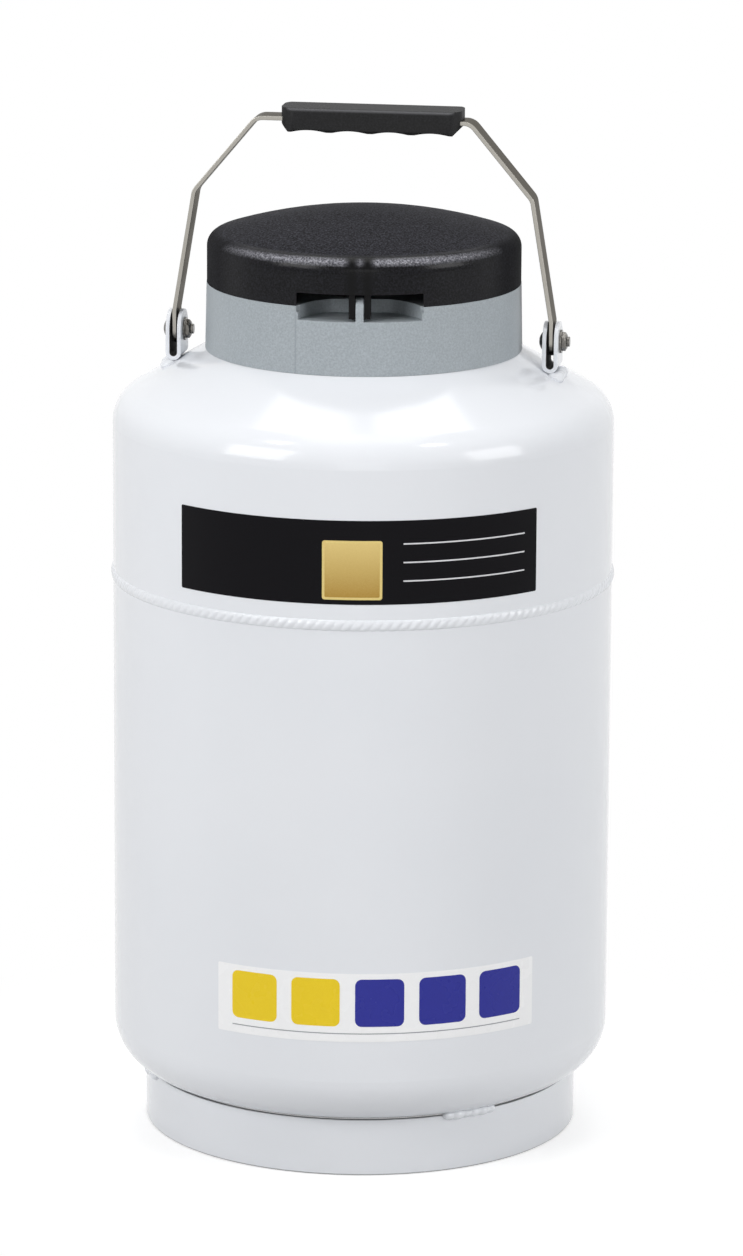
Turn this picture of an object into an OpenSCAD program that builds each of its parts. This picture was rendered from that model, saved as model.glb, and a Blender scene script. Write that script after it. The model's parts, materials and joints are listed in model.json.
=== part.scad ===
// Ten-litre liquid nitrogen dewar with a swinging bail and a lid that takes a padlock.
// Millimetres, Z up. The origin is on the floor under the neck, X runs through the bail's
// pivots, and the hasp faces -Y.

/* [Body] */
// Outside diameter of the body
body_d = 300; // [294:1:330]
// Wall of the outer shell
body_wall = 2.5; // [2:0.1:4]
// Height where the straight side begins
side_low_z = 63.5; // [58:0.5:75]
// Height where the straight side ends
side_top_z = 431.5; // [415:0.5:460]
// Height of the weld between the two halves
girth_z = 340; // [250:1:400]
// Slope of the shoulder in degrees
shoulder_slope = 29.5; // [25:0.5:31]
// Radius of the knuckle between side and shoulder
shoulder_knuckle = 22; // [16:1:28]
// Slope of the bottom in degrees, where it leaves its knuckle
bottom_slope = 18; // [15:1:21]
// Radius of the knuckle between side and bottom
bottom_knuckle = 30; // [20:1:34]
// Width of the girth weld bead
girth_bead_w = 7; // [5:0.5:10]
// Height of the girth weld bead above the shell
girth_bead_h = 1.3; // [0.8:0.1:2]

/* [Base ring] */
// Outside diameter of the base ring
base_d = 262; // [240:1:266]
// Wall of the base ring
base_wall = 3; // [2:0.5:5]
// Radius of the stitch weld beads
base_bead_r = 3.4; // [2.5:0.1:4]
// Arc of one stitch weld in degrees
base_bead_arc = 18; // [10:1:25]

/* [Evacuation port] */
// Outside diameter of the port tube
port_d = 22; // [18:1:28]
// Bore of the port tube
port_bore_d = 14; // [10:1:15]
// Length of the port tube below the shell
port_drop = 6; // [5:0.5:8]
// Wall of the dust cap
port_cap_wall = 1.6; // [1:0.1:2.5]

/* [Inner vessel] */
// Gap between the insulation wrap and the outer shell
vacuum_gap = 12; // [8:1:25]
// Wall of the inner vessel
vessel_wall = 1.6; // [1:0.1:3]
// Height of the inner vessel's lowest point
vessel_low_z = 50; // [46:1:60]
// Height of the inner vessel's straight side
vessel_side_h = 181; // [150:1:195]
// Radius of the inner vessel's knuckles
vessel_knuckle = 30; // [24:1:40]
// Slope of the inner vessel's ends in degrees, at the knuckle
vessel_slope = 20; // [16:1:24]
// Height of the socket that takes the neck tube
vessel_socket_h = 12; // [8:1:20]
// Thickness of the insulation wrap
wrap_t = 18; // [10:1:20]
// Diameter of the adsorbent cup
cup_d = 60; // [40:1:80]
// Height of the adsorbent cup
cup_h = 8; // [5:0.5:12]

/* [Neck] */
// Bore of the neck tube
neck_bore_d = 50; // [44:1:54]
// Wall of the neck tube
neck_tube_wall = 1.5; // [1:0.1:2.5]
// Radius of the flat land round the neck
neck_land_r = 48; // [44:1:56]
// Thickness of the neck flange
flange_t = 5; // [4.5:0.5:8]
// Wall of the flange's spigot in the shell
flange_spigot_wall = 4; // [3:0.5:5]
// Depth of the flange's spigot below the land
flange_spigot_h = 9; // [6:0.5:14]

/* [Neck ring] */
// Outside diameter of the neck ring at its foot
ring_d = 189.2; // [184:0.2:194]
// Height of the neck ring's outer wall
ring_h = 40; // [36:0.5:46]
// Draft of the neck ring's wall, foot to rim
ring_draft = 0.8; // [0.2:0.1:1.5]
// Wall of the neck ring
ring_wall = 3; // [2.5:0.1:4]
// Radius of the well in the middle of the deck
well_r = 36; // [35:0.5:42]
// Number of stiffening ribs under the deck
ring_ribs = 10; // [6:1:16]
// Diameter of the screws into the flange
ring_screw_d = 4; // [3:0.5:5]
// Diameter of the screw heads
ring_screw_head_d = 7; // [6:0.5:7.5]

/* [Hasp] */
// Turn of the hasp from -Y towards +X in degrees
hasp_turn = 7.5; // [0:0.5:20]
// Width of the hasp window
window_w = 74; // [66:1:84]
// Depth of the pocket below the rim
pocket_h = 8; // [6:0.5:10]
// Height of the lid's notch above the rim
notch_h = 8; // [6:0.5:10]
// Depth of the pocket from the outer wall to its flat back
pocket_depth = 33; // [28:1:38]
// Thickness of the ring's tab
tab_t = 4.6; // [3:0.1:6]
// Height of the tab above the rim
tab_rise = 5.5; // [4:0.5:7]
// Length of the tab from front to back
tab_l = 18; // [16:1:22]
// Thickness of each ear on the lid
ear_t = 3.6; // [2.5:0.1:5]
// Length of the ears from front to back
ear_l = 15; // [13:0.5:18]
// Diameter of the padlock hole
padlock_d = 6.4; // [5:0.1:7]
// Distance of the padlock hole behind the front of the tab
padlock_setback = 8; // [7:0.5:9]

/* [Lid] */
// Height of the lid's straight side
lid_side_h = 21.5; // [18:0.5:26]
// Radius of the lid's upper edge
lid_edge_r = 8.5; // [6:0.5:12]
// Radius of the lid's domed top
lid_crown_r = 290; // [250:5:350]
// Wall of the lid
lid_wall = 3; // [2.5:0.1:4]
// Number of ribs inside the lid
lid_ribs = 8; // [6:1:12]
// Height of the ribs below the straight side's end
lid_rib_drop = 6; // [3:0.5:10]

/* [Neck plug] */
// Diameter of the foam plug
plug_d = 46; // [38:0.5:48]
// Length of the foam plug
plug_l = 125; // [90:1:150]
// Diameter of the plug's carrier disc
disc_d = 68; // [62:1:69]
// Thickness of the carrier disc
disc_t = 3; // [2:0.5:4]
// Diameter of the screws into the lid
plug_screw_d = 3.5; // [3:0.5:4]
// Diameter of their heads
plug_screw_head_d = 6; // [5:0.5:6.5]

/* [Bail] */
// Gap between the neck ring and the nearest bolt end
bolt_end_gap = 8.5; // [3:0.1:12]
// Height of the pivots above the shoulder
pivot_rise = 18.2; // [16:0.2:22]
// Width of the flat bar
bar_w = 17; // [14:0.5:20]
// Thickness of the flat bar
bar_t = 2.5; // [2:0.1:3.5]
// Height of the foot bends above the pivots
foot_h = 12; // [11:0.5:20]
// Height of the lower bends above the pivots
leg_h = 85; // [75:1:95]
// How far each leg leans in between those bends
leg_lean = 12; // [6:0.5:14]
// Height of the top of the bail above the pivots
bail_h = 129.8; // [122:0.2:140]
// Distance of each upper bend from the middle
top_bend_x = 64; // [62:0.5:72]
// Inside radius of the bends
bend_r = 7; // [4:0.5:10]

/* [Grip] */
// Length of the grip
grip_l = 108; // [95:1:112]
// Depth of the grip from front to back
grip_w = 28; // [24:1:32]
// Height of the grip
grip_h = 14.5; // [12:0.5:18]
// Height of the grip's middle above the bar's middle
grip_lift = 0; // [-1:0.5:1]
// How far the grip sits towards +X
grip_shift = 5; // [0:0.5:6]
// Number of finger scallops
scallops = 4; // [3:1:5]
// Depth of the finger scallops
scallop_depth = 1.6; // [1:0.1:2.2]

/* [Brackets] */
// Thickness of the bracket strap
bracket_t = 2.5; // [2:0.1:3.5]
// Width of the bracket strap
bracket_w = 24; // [18:1:26]
// Play between the bar and each of the bracket's ears
bracket_play = 0.95; // [0.5:0.05:2]
// Diameter of the pivot bolts
bolt_d = 6; // [5:0.5:8]
// Diameter of the bolt heads
bolt_head_d = 13; // [11:0.5:14]
// Height of the bolt heads
bolt_head_h = 3.3; // [2.5:0.1:4]
// Diameter of the washers
washer_d = 14; // [12:0.5:16]
// Thickness of the washers
washer_t = 1.2; // [1:0.1:2]
// Nut size across flats
nut_af = 10; // [9:0.5:13]
// Height of the nuts
nut_h = 3; // [2.5:0.5:6]
// Thread that stands out of each nut
thread_out = 1.5; // [0.5:0.5:3]

/* [Hidden] */

// Smoothness of round shapes, and of the long flat arcs
$fn = 160;
fine_arc = 720;

// Clearances, and how far a cut runs past the face that it opens
snug = 0.1;
seat = 0.2;
pin_play = 0.05;
slide_play = 0.45;
over = 1;

// Depth that one stretch of an outline is tucked inside the arc beside it, so that they cross cleanly
tuck = 0.005;

// Body
body_r = body_d / 2;
shoulder_tan_r = body_r - shoulder_knuckle * (1 - sin(shoulder_slope));
shoulder_tan_z = side_top_z + shoulder_knuckle * cos(shoulder_slope);
function shoulder_z(r) = shoulder_tan_z + (shoulder_tan_r - r) * tan(shoulder_slope);

// Crown radius of a dished end of radius r, and the drop of that crown from its pole to radius x
function dish_crown(r, knuckle, slope) = (r - knuckle * (1 - sin(slope))) / sin(slope);
function dish_h(r, knuckle, slope) =
    knuckle * cos(slope) + dish_crown(r, knuckle, slope) * (1 - cos(slope));
function crown_drop(crown, x) = crown - sqrt(crown * crown - x * x);

bottom_crown = dish_crown(body_r, bottom_knuckle, bottom_slope);
bottom_low_z = side_low_z - dish_h(body_r, bottom_knuckle, bottom_slope);
bottom_knuckle_r = body_r - bottom_knuckle;
bottom_tan_r = bottom_knuckle_r + bottom_knuckle * sin(bottom_slope);
function bottom_z(r) = r < bottom_tan_r
    ? bottom_low_z + crown_drop(bottom_crown, r)
    : side_low_z - sqrt(pow(bottom_knuckle, 2) - pow(r - bottom_knuckle_r, 2));

// Base ring
base_r = base_d / 2;
base_h = bottom_z(base_r - base_wall) - seat;
base_edge = 0.6;
base_bead_turns = [-51, 75, 202];

// Evacuation port
port_r = port_d / 2;
port_end_z = bottom_low_z - port_drop;
port_stub = 3;
port_top_z = bottom_low_z + body_wall + port_stub;
port_cap_gap = 1;
port_plug_h = 9;
port_key_d = 5;
port_key_h = 4;
port_seal_r = 1.2;
port_seal_rise = 6;
port_seal_z = port_end_z + port_seal_rise;
port_seal_mid_r = port_bore_d / 2 - port_seal_r;

// Inner vessel
vessel_r = body_r - body_wall - vacuum_gap - wrap_t;
vessel_crown = dish_crown(vessel_r, vessel_knuckle, vessel_slope);
vessel_dish_h = dish_h(vessel_r, vessel_knuckle, vessel_slope);
vessel_side_z = vessel_low_z + vessel_dish_h;
vessel_weld_z = vessel_side_z + vessel_side_h / 2;
vessel_top_z = vessel_side_z + vessel_side_h + vessel_dish_h;
vessel_bead_w = 6;
vessel_bead_h = 1;
cup_top_z = vessel_low_z - seat;

// Neck
neck_bore_r = neck_bore_d / 2;
neck_tube_r = neck_bore_r + neck_tube_wall;
socket_r = neck_tube_r + snug + vessel_wall;
neck_low_z = vessel_top_z - crown_drop(vessel_crown, neck_tube_r) - vessel_wall;
spigot_r = neck_tube_r + snug + flange_spigot_wall;

// Neck ring
ring_r = ring_d / 2;
rim_r = ring_r - ring_draft;
ring_foot_z = shoulder_z(ring_r) + seat;
rim_z = ring_foot_z + ring_h;
crown_margin = 3;
crown_start_r = ring_r - ring_wall - crown_margin;
crown_arc = (crown_start_r - neck_land_r) / sin(shoulder_slope);
land_z = shoulder_z(crown_start_r) + crown_arc * (1 - cos(shoulder_slope));
flange_top_z = land_z + flange_t;
well_floor_z = flange_top_z + snug;
well_floor_t = 3;
deck_z = rim_z - ring_wall;
pocket_z = rim_z - pocket_h;
rib_t = 2;
rib_gap = 1;
rib_low_z = flange_top_z + rib_gap;
ring_screw_count = 3;
ring_screw_turn = 30;
ring_screw_r = (neck_tube_r + well_r) / 2;
ring_screw_floor = 1;
ring_screw_bite = flange_t - ring_screw_floor;
ring_screw_head_h = 2.6;
screw_socket = 0.4;

// Lid
lid_inset = 0.2;
lid_r = rim_r - lid_inset;
lid_top_side_z = rim_z + lid_side_h;
lid_edge_x = lid_r - lid_edge_r;
lid_crown_z = lid_top_side_z - sqrt(pow(lid_crown_r - lid_edge_r, 2) - pow(lid_edge_x, 2));
lid_top_z = lid_crown_z + lid_crown_r;
disc_lift = 0.6;
disc_z = rim_z + disc_lift;
boss_z = disc_z + disc_t;
boss_inset = 1;
boss_r = disc_d / 2 - boss_inset;
boss_wall = 9;
plug_screw_count = 3;
plug_screw_turn = 90;
plug_screw_r = boss_r - boss_wall / 2;
plug_screw_bite = 9;
plug_screw_head_h = 2.2;
plug_low_z = disc_z - plug_l;
plug_chamfer = 3;

// Hasp, seen in its own turned frame with the front at -Y, and its direction from +X
hasp_angle = hasp_turn - 90;
window_r = window_w / 2;
pocket_wall = 2.5;
tab_inset = 0.3;
tab_round = 7.5;
tab_front_y = -rim_r + tab_inset;
ear_x = tab_t / 2 + slide_play;
ear_front_y = -lid_r + lid_wall / 2;
ear_gap = 1.5;
ear_low_z = pocket_z + ear_gap;
padlock_drop = 0.5;
padlock_y = tab_front_y + padlock_setback;
padlock_z = rim_z - padlock_drop;
padlock_r = padlock_d / 2;

// Brackets, which stand clear of the neck ring by the bolt's end, and the pivots in their middle
bracket_gap = bar_t + 2 * bracket_play;
bracket_half = bracket_gap / 2 + bracket_t;
bolt_end = bracket_half + washer_t + nut_h + thread_out;
pivot_x = ring_r + bolt_end_gap + bolt_end;
pivot_z = shoulder_z(pivot_x) + pivot_rise;
bracket_bend_z = shoulder_z(pivot_x) + (bracket_half + snug) / cos(shoulder_slope);
bracket_bead_w = 6;
bracket_bead_inset = 1;

// Bail, in the XZ plane
foot_bend = [pivot_x, pivot_z + foot_h];
leg_bend = [pivot_x - leg_lean, pivot_z + leg_h];
top_bend = [top_bend_x, pivot_z + bail_h];
function heading(from, to) = (to - from) / norm(to - from);
bail_corners = [foot_bend, leg_bend, top_bend];
bail_dirs = [[0, 1], heading(foot_bend, leg_bend), heading(leg_bend, top_bend), [-1, 0]];
bend_mid_r = bend_r + bar_t / 2;
bolt_r = bolt_d / 2;
bolt_socket_d = bolt_d * 0.75;
nut_crown_d = nut_af * 0.8;

// Grip, with each scallop a share of its pitch
grip_mid_z = pivot_z + bail_h + grip_lift;
grip_edge_r = 2.5;
grip_end_r = 9;
grip_chamfer = 5;
scallop_share = 0.88;
scallop_pitch = (grip_l - 2 * grip_chamfer) / scallops;
scallop_half = scallop_pitch * scallop_share / 2;
scallop_r = (scallop_half * scallop_half + scallop_depth * scallop_depth) / (2 * scallop_depth);

// Half profile of a dished end on its tangent plane, with its pole up. inset shrinks it by a wall.
module dished_end(r, knuckle, slope, inset) {
    crown = dish_crown(r, knuckle, slope);
    centre_r = r - knuckle;
    tan_r = centre_r + (knuckle - inset) * sin(slope);
    translate([centre_r, 0]) circle(r = knuckle - inset);
    intersection() {
        translate([0, (knuckle - crown) * cos(slope)]) circle(r = crown - inset - tuck, $fn = fine_arc);
        translate([0, -knuckle / 2]) square([tan_r, crown]);
    }
}

// Half profile of the lower half of the shell, filled
module lower_profile(inset) {
    translate([0, side_low_z]) mirror([0, 1]) dished_end(body_r, bottom_knuckle, bottom_slope, inset);
    translate([0, side_low_z]) square([body_r - inset, girth_z - side_low_z]);
}

// Half profile of the upper half of the shell, filled: side, knuckle, straight shoulder, arc and land
module upper_profile(inset) {
    knuckle = shoulder_knuckle - inset;
    centre_r = body_r - shoulder_knuckle;
    arc = crown_arc - inset;
    arc_z = land_z - crown_arc;
    slope_out = [sin(shoulder_slope), cos(shoulder_slope)];
    shoulder_low = [centre_r, side_top_z] + slope_out * (knuckle - tuck);
    shoulder_high = [neck_land_r, arc_z] + slope_out * (arc - tuck);
    flat_z = land_z - inset - tuck;
    translate([0, girth_z]) square([body_r - inset, side_top_z - girth_z]);
    translate([centre_r, side_top_z]) circle(r = knuckle);
    polygon([
        [0, side_top_z - knuckle], [centre_r, side_top_z - knuckle], shoulder_low, shoulder_high,
        [neck_land_r, flat_z], [0, flat_z]
    ]);
    intersection() {
        translate([neck_land_r, arc_z]) circle(r = arc, $fn = fine_arc);
        translate([0, side_top_z]) square([shoulder_high.x + over, land_z]);
    }
}

// Ring of weld metal on a cylinder of radius r: a bead of width w and height h
module weld_ring(r, z, w, h) {
    bead = (w * w / 4 + h * h) / (2 * h);
    rotate_extrude() intersection() {
        translate([r + h - bead, z]) circle(r = bead);
        translate([r + snug, z - w]) square([h + over, 2 * w]);
    }
}

// Copies of a child turned about Z
module around(count, start = 0) {
    for (i = [0:count - 1]) rotate(start + i * 360 / count) children();
}

// Pan-head screw, head up, seated on z = 0
module pan_screw(d, head_d, head_h, length) {
    translate([0, 0, -length]) cylinder(d = d, h = length + head_h / 2);
    difference() {
        cylinder(d = head_d, h = head_h);
        translate([0, 0, head_h / 2]) cylinder(d = head_d * screw_socket, h = head_h, $fn = 6);
    }
}

module outer_shell_upper() {
    color("white") rotate_extrude() difference() {
        upper_profile(0);
        upper_profile(body_wall);
        translate([0, girth_z]) square([spigot_r + snug, land_z - girth_z + over]);
    }
}

module outer_shell_lower() {
    color("white") rotate_extrude() difference() {
        lower_profile(0);
        lower_profile(body_wall);
        translate([0, bottom_low_z - over]) square([port_r + snug, body_wall + 3 * over]);
    }
}

module girth_weld() {
    color("white") weld_ring(body_r, girth_z, girth_bead_w, girth_bead_h);
}

module base_ring() {
    inner = base_r - base_wall;
    color("white") rotate_extrude() polygon([
        [inner, 0], [base_r - base_edge, 0], [base_r, base_edge], [base_r, base_h], [inner, base_h]
    ]);
}

// Short beads in the notch between the base ring's top edge and the dished bottom
module base_ring_welds() {
    color("white") for (turn = base_bead_turns) rotate(turn - base_bead_arc / 2)
        rotate_extrude(angle = base_bead_arc) difference() {
            translate([base_r, base_h]) circle(r = base_bead_r);
            lower_profile(-snug);
            translate([base_r - 2 * base_bead_r, 0]) square([2 * base_bead_r + snug, base_h + snug]);
        }
}

module vacuum_port() {
    color("silver") translate([0, 0, port_end_z]) difference() {
        cylinder(d = port_d, h = port_top_z - port_end_z);
        translate([0, 0, -over]) cylinder(d = port_bore_d, h = port_top_z - port_end_z + 2 * over);
    }
}

module vacuum_plug() {
    color("silver") translate([0, 0, port_end_z]) difference() {
        cylinder(r = port_bore_d / 2 - snug, h = port_plug_h);
        translate([0, 0, -over]) cylinder(d = port_key_d, h = port_key_h + over);
        translate([0, 0, port_seal_rise]) rotate_extrude()
            translate([port_seal_mid_r - port_seal_r, -port_seal_r])
                square([3 * port_seal_r, 2 * port_seal_r]);
    }
}

module vacuum_plug_seal() {
    color("black") translate([0, 0, port_seal_z]) rotate_extrude()
        translate([port_seal_mid_r, 0]) circle(r = port_seal_r - snug);
}

module vacuum_port_cap() {
    cap_r = port_r + snug + port_cap_wall;
    low_z = port_end_z - snug - port_cap_wall;
    color("black") translate([0, 0, low_z]) difference() {
        cylinder(r = cap_r, h = bottom_low_z - port_cap_gap - low_z);
        translate([0, 0, port_cap_wall]) cylinder(r = port_r + snug, h = port_drop);
    }
}

// Half profile of the inner vessel, filled. inset shrinks it by a wall, or grows it where negative.
module vessel_profile(inset) {
    top_z = vessel_side_z + vessel_side_h;
    translate([0, vessel_side_z]) mirror([0, 1])
        dished_end(vessel_r, vessel_knuckle, vessel_slope, inset);
    translate([0, vessel_side_z]) square([vessel_r - inset, vessel_side_h]);
    translate([0, top_z]) dished_end(vessel_r, vessel_knuckle, vessel_slope, inset);
}

module vessel_wall_profile() {
    difference() {
        vessel_profile(0);
        vessel_profile(vessel_wall);
    }
}

module inner_vessel_upper() {
    color("silver") rotate_extrude() difference() {
        union() {
            intersection() {
                vessel_wall_profile();
                translate([0, vessel_weld_z]) square([vessel_r + over, vessel_top_z]);
            }
            translate([neck_tube_r, neck_low_z]) square([socket_r - neck_tube_r, vessel_socket_h]);
        }
        translate([0, vessel_weld_z]) square([neck_tube_r + snug, vessel_top_z]);
    }
}

module inner_vessel_lower() {
    color("silver") rotate_extrude() intersection() {
        vessel_wall_profile();
        square([vessel_r + over, vessel_weld_z]);
    }
}

module inner_vessel_weld() {
    color("silver") weld_ring(vessel_r, vessel_weld_z, vessel_bead_w, vessel_bead_h);
}

// Blanket of foil and paper round the whole inner vessel, open at the neck and over the cup
module insulation_wrap() {
    color("gainsboro") rotate_extrude() difference() {
        vessel_profile(-wrap_t);
        vessel_profile(-vessel_bead_h - seat);
        translate([0, vessel_weld_z]) square([socket_r + seat, vessel_top_z]);
        translate([0, cup_top_z - cup_h - seat]) square([cup_d / 2 + seat, cup_h + vessel_wall]);
    }
}

module adsorbent_cup() {
    color("silver") translate([0, 0, cup_top_z - cup_h]) cylinder(d = cup_d, h = cup_h);
}

module neck_tube() {
    color("khaki") rotate_extrude() translate([neck_bore_r, neck_low_z])
        square([neck_tube_wall, flange_top_z - neck_low_z]);
}

module neck_flange() {
    color("silver") difference() {
        rotate_extrude() {
            bore_r = neck_tube_r + snug;
            translate([bore_r, land_z]) square([neck_land_r - bore_r, flange_t]);
            translate([bore_r, land_z - flange_spigot_h])
                square([flange_spigot_wall, flange_spigot_h + over]);
        }
        around(ring_screw_count, ring_screw_turn)
            translate([ring_screw_r, 0, flange_top_z - ring_screw_bite])
                cylinder(d = ring_screw_d + 2 * snug, h = ring_screw_bite + over);
    }
}

// Half profile of the neck ring: outer wall, deck, well wall and well floor
module neck_ring_profile() {
    foot_in = ring_r - ring_wall;
    foot_in_z = shoulder_z(foot_in) + seat;
    polygon([
        [ring_r, ring_foot_z], [rim_r, rim_z], [well_r, rim_z], [well_r, well_floor_z + well_floor_t],
        [neck_tube_r + snug, well_floor_z + well_floor_t], [neck_tube_r + snug, well_floor_z],
        [well_r + ring_wall, well_floor_z], [well_r + ring_wall, deck_z],
        [rim_r - ring_wall, deck_z], [foot_in, foot_in_z]
    ]);
}

// Plan of the hasp pocket: half round on the rim, cut square at its back. grow adds a wall.
module pocket_plan(grow) {
    intersection() {
        translate([0, -rim_r]) circle(r = window_r + grow);
        translate([-window_w, -2 * ring_r])
            square([2 * window_w, 2 * ring_r - rim_r + pocket_depth + grow]);
    }
}

module padlock_bore() {
    translate([0, padlock_y, padlock_z]) rotate([0, 90, 0])
        cylinder(r = padlock_r, h = window_w, center = true);
}

// Tab of the ring: a plate with rounded upper corners
module hasp_tab() {
    low_z = pocket_z - pocket_wall / 2;
    high_z = rim_z + tab_rise;
    rotate([90, 0, 90]) linear_extrude(tab_t, center = true) {
        translate([tab_front_y, low_z]) square([tab_l, high_z - tab_round - low_z]);
        translate([tab_front_y + tab_round, low_z]) square([tab_l - 2 * tab_round, high_z - low_z]);
        translate([tab_front_y + tab_round, high_z - tab_round]) circle(r = tab_round);
        translate([tab_front_y + tab_l - tab_round, high_z - tab_round]) circle(r = tab_round);
    }
}

module neck_ring() {
    floor_z = pocket_z - pocket_wall;
    shell_h = deck_z + ring_wall / 2 - floor_z;
    rib_h = deck_z + ring_wall / 2 - rib_low_z;
    color("darkgray") difference() {
        union() {
            difference() {
                union() {
                    rotate_extrude() neck_ring_profile();
                    around(ring_ribs, hasp_angle)
                        translate([well_r + ring_wall / 2, -rib_t / 2, rib_low_z])
                            cube([rim_r - well_r - ring_wall, rib_t, rib_h]);
                    rotate(hasp_turn) intersection() {
                        translate([0, 0, floor_z]) linear_extrude(shell_h) pocket_plan(pocket_wall);
                        cylinder(r = rim_r - ring_wall / 2, h = rim_z);
                    }
                }
                rotate(hasp_turn) translate([0, 0, pocket_z])
                    linear_extrude(pocket_h + over) pocket_plan(0);
            }
            rotate(hasp_turn) hasp_tab();
        }
        rotate(hasp_turn) padlock_bore();
        around(ring_screw_count, ring_screw_turn) translate([ring_screw_r, 0, flange_top_z])
            cylinder(d = ring_screw_d + 2 * snug, h = well_floor_t + over);
    }
}

module neck_ring_screws() {
    shank = well_floor_t + ring_screw_bite - snug;
    color("silver") around(ring_screw_count, ring_screw_turn)
        translate([ring_screw_r, 0, well_floor_z + well_floor_t])
            pan_screw(ring_screw_d, ring_screw_head_d, ring_screw_head_h, shank);
}

// Half profile of the lid, filled
module lid_profile(inset) {
    tan_x = lid_edge_x * (lid_crown_r - inset) / (lid_crown_r - lid_edge_r);
    translate([0, rim_z]) square([lid_r - inset, lid_side_h]);
    translate([lid_edge_x, lid_top_side_z]) circle(r = lid_edge_r - inset);
    intersection() {
        translate([0, lid_crown_z]) circle(r = lid_crown_r - inset - tuck, $fn = fine_arc);
        translate([0, lid_top_side_z]) square([tan_x, lid_crown_r]);
    }
}

// Ears that hang from the lid on both sides of the tab
module lid_ears() {
    for (side = [-1, 1]) translate([side * (ear_x + ear_t / 2), ear_front_y, ear_low_z])
        translate([-ear_t / 2, 0, 0]) cube([ear_t, ear_l, lid_top_z - ear_low_z]);
}

module lid_cover() {
    rib_low = lid_top_side_z - lid_rib_drop;
    color("black") difference() {
        union() {
            rotate_extrude() difference() {
                lid_profile(0);
                lid_profile(lid_wall);
            }
            intersection() {
                rotate_extrude() lid_profile(lid_wall / 2);
                union() {
                    translate([0, 0, boss_z]) difference() {
                        cylinder(r = boss_r, h = lid_top_z - boss_z);
                        translate([0, 0, -over]) cylinder(r = boss_r - boss_wall, h = lid_top_z);
                    }
                    around(lid_ribs, hasp_angle + 180 / lid_ribs)
                        translate([boss_r - boss_wall / 2, -rib_t / 2, rib_low])
                            cube([lid_r - boss_r, rib_t, lid_top_z - rib_low]);
                }
            }
            rotate(hasp_turn) intersection() {
                lid_ears();
                translate([0, 0, -rim_z]) cylinder(r = lid_r - lid_wall / 2, h = 2 * rim_z + lid_side_h);
            }
        }
        rotate(hasp_turn) difference() {
            translate([-window_r, -lid_r - over, rim_z - over])
                cube([window_w, lid_wall + 2 * over + window_r * window_r / lid_r, notch_h + over]);
            lid_ears();
        }
        rotate(hasp_turn) padlock_bore();
        around(plug_screw_count, plug_screw_turn) translate([plug_screw_r, 0, boss_z - over])
            cylinder(d = plug_screw_d + 2 * snug, h = plug_screw_bite + over);
    }
}

module plug_disc() {
    color("dimgray") translate([0, 0, disc_z]) difference() {
        cylinder(d = disc_d, h = disc_t);
        around(plug_screw_count, plug_screw_turn) translate([plug_screw_r, 0, -over])
            cylinder(d = plug_screw_d + 2 * snug, h = disc_t + 2 * over);
    }
}

module plug_screws() {
    shank = disc_t + plug_screw_bite - 2 * snug;
    color("silver") around(plug_screw_count, plug_screw_turn)
        translate([plug_screw_r, 0, disc_z]) mirror([0, 0, 1])
            pan_screw(plug_screw_d, plug_screw_head_d, plug_screw_head_h, shank);
}

module neck_plug() {
    plug_r = plug_d / 2;
    color("lightyellow") rotate_extrude() polygon([
        [0, plug_low_z], [plug_r - plug_chamfer, plug_low_z], [plug_r, plug_low_z + plug_chamfer],
        [plug_r, disc_z], [0, disc_z]
    ]);
}

// U strap that opens upwards, with round ears about the pivot, at x = side * pivot_x
module handle_bracket(side) {
    wall_h = pivot_z - bracket_bend_z;
    color("white") translate([side * pivot_x, 0, 0]) difference() {
        union() {
            rotate([90, 0, 0]) linear_extrude(bracket_w, center = true) difference() {
                union() {
                    translate([0, bracket_bend_z]) circle(r = bracket_half);
                    translate([-bracket_half, bracket_bend_z]) square([2 * bracket_half, wall_h]);
                }
                translate([0, bracket_bend_z]) circle(r = bracket_gap / 2);
                translate([-bracket_gap / 2, bracket_bend_z]) square([bracket_gap, wall_h + over]);
            }
            for (ear = [-1, 1])
                translate([ear * (bracket_half - bracket_t / 2), 0, pivot_z]) rotate([0, 90, 0])
                    intersection() {
                        cylinder(d = bracket_w, h = bracket_t, center = true);
                        translate([-bracket_w, -bracket_w, -bracket_t])
                            cube([bracket_w + over, 2 * bracket_w, 2 * bracket_t]);
                    }
        }
        pivot_cut();
    }
}

// Pivot hole along X at the pivot's height
module pivot_cut() {
    translate([0, 0, pivot_z]) rotate([0, 90, 0])
        cylinder(r = bolt_r + pin_play, h = 4 * bracket_half, center = true);
}

module handle_bracket_left() {
    handle_bracket(-1);
}

module handle_bracket_right() {
    handle_bracket(1);
}

// Bead in the notch between each bracket's outer bend and the shoulder
module bracket_welds() {
    low = pivot_x;
    high = pivot_x + bracket_half + bracket_bead_w / 2;
    color("white") for (side = [0, 1]) mirror([side, 0, 0]) rotate([90, 0, 0])
        linear_extrude(bracket_w - 2 * bracket_bead_inset, center = true) difference() {
            polygon([
                [low, shoulder_z(low) + snug], [high, shoulder_z(high) + snug],
                [pivot_x + bracket_half + snug, bracket_bend_z], [low, bracket_bend_z]
            ]);
            translate([pivot_x, bracket_bend_z]) circle(r = bracket_half + snug);
        }
}

// Children at both pivots, with their Z along +X, shifted from the middle of each bracket
module at_pivots(shift) {
    for (side = [-1, 1]) translate([side * pivot_x + shift, 0, pivot_z]) rotate([0, 90, 0]) children();
}

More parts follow.
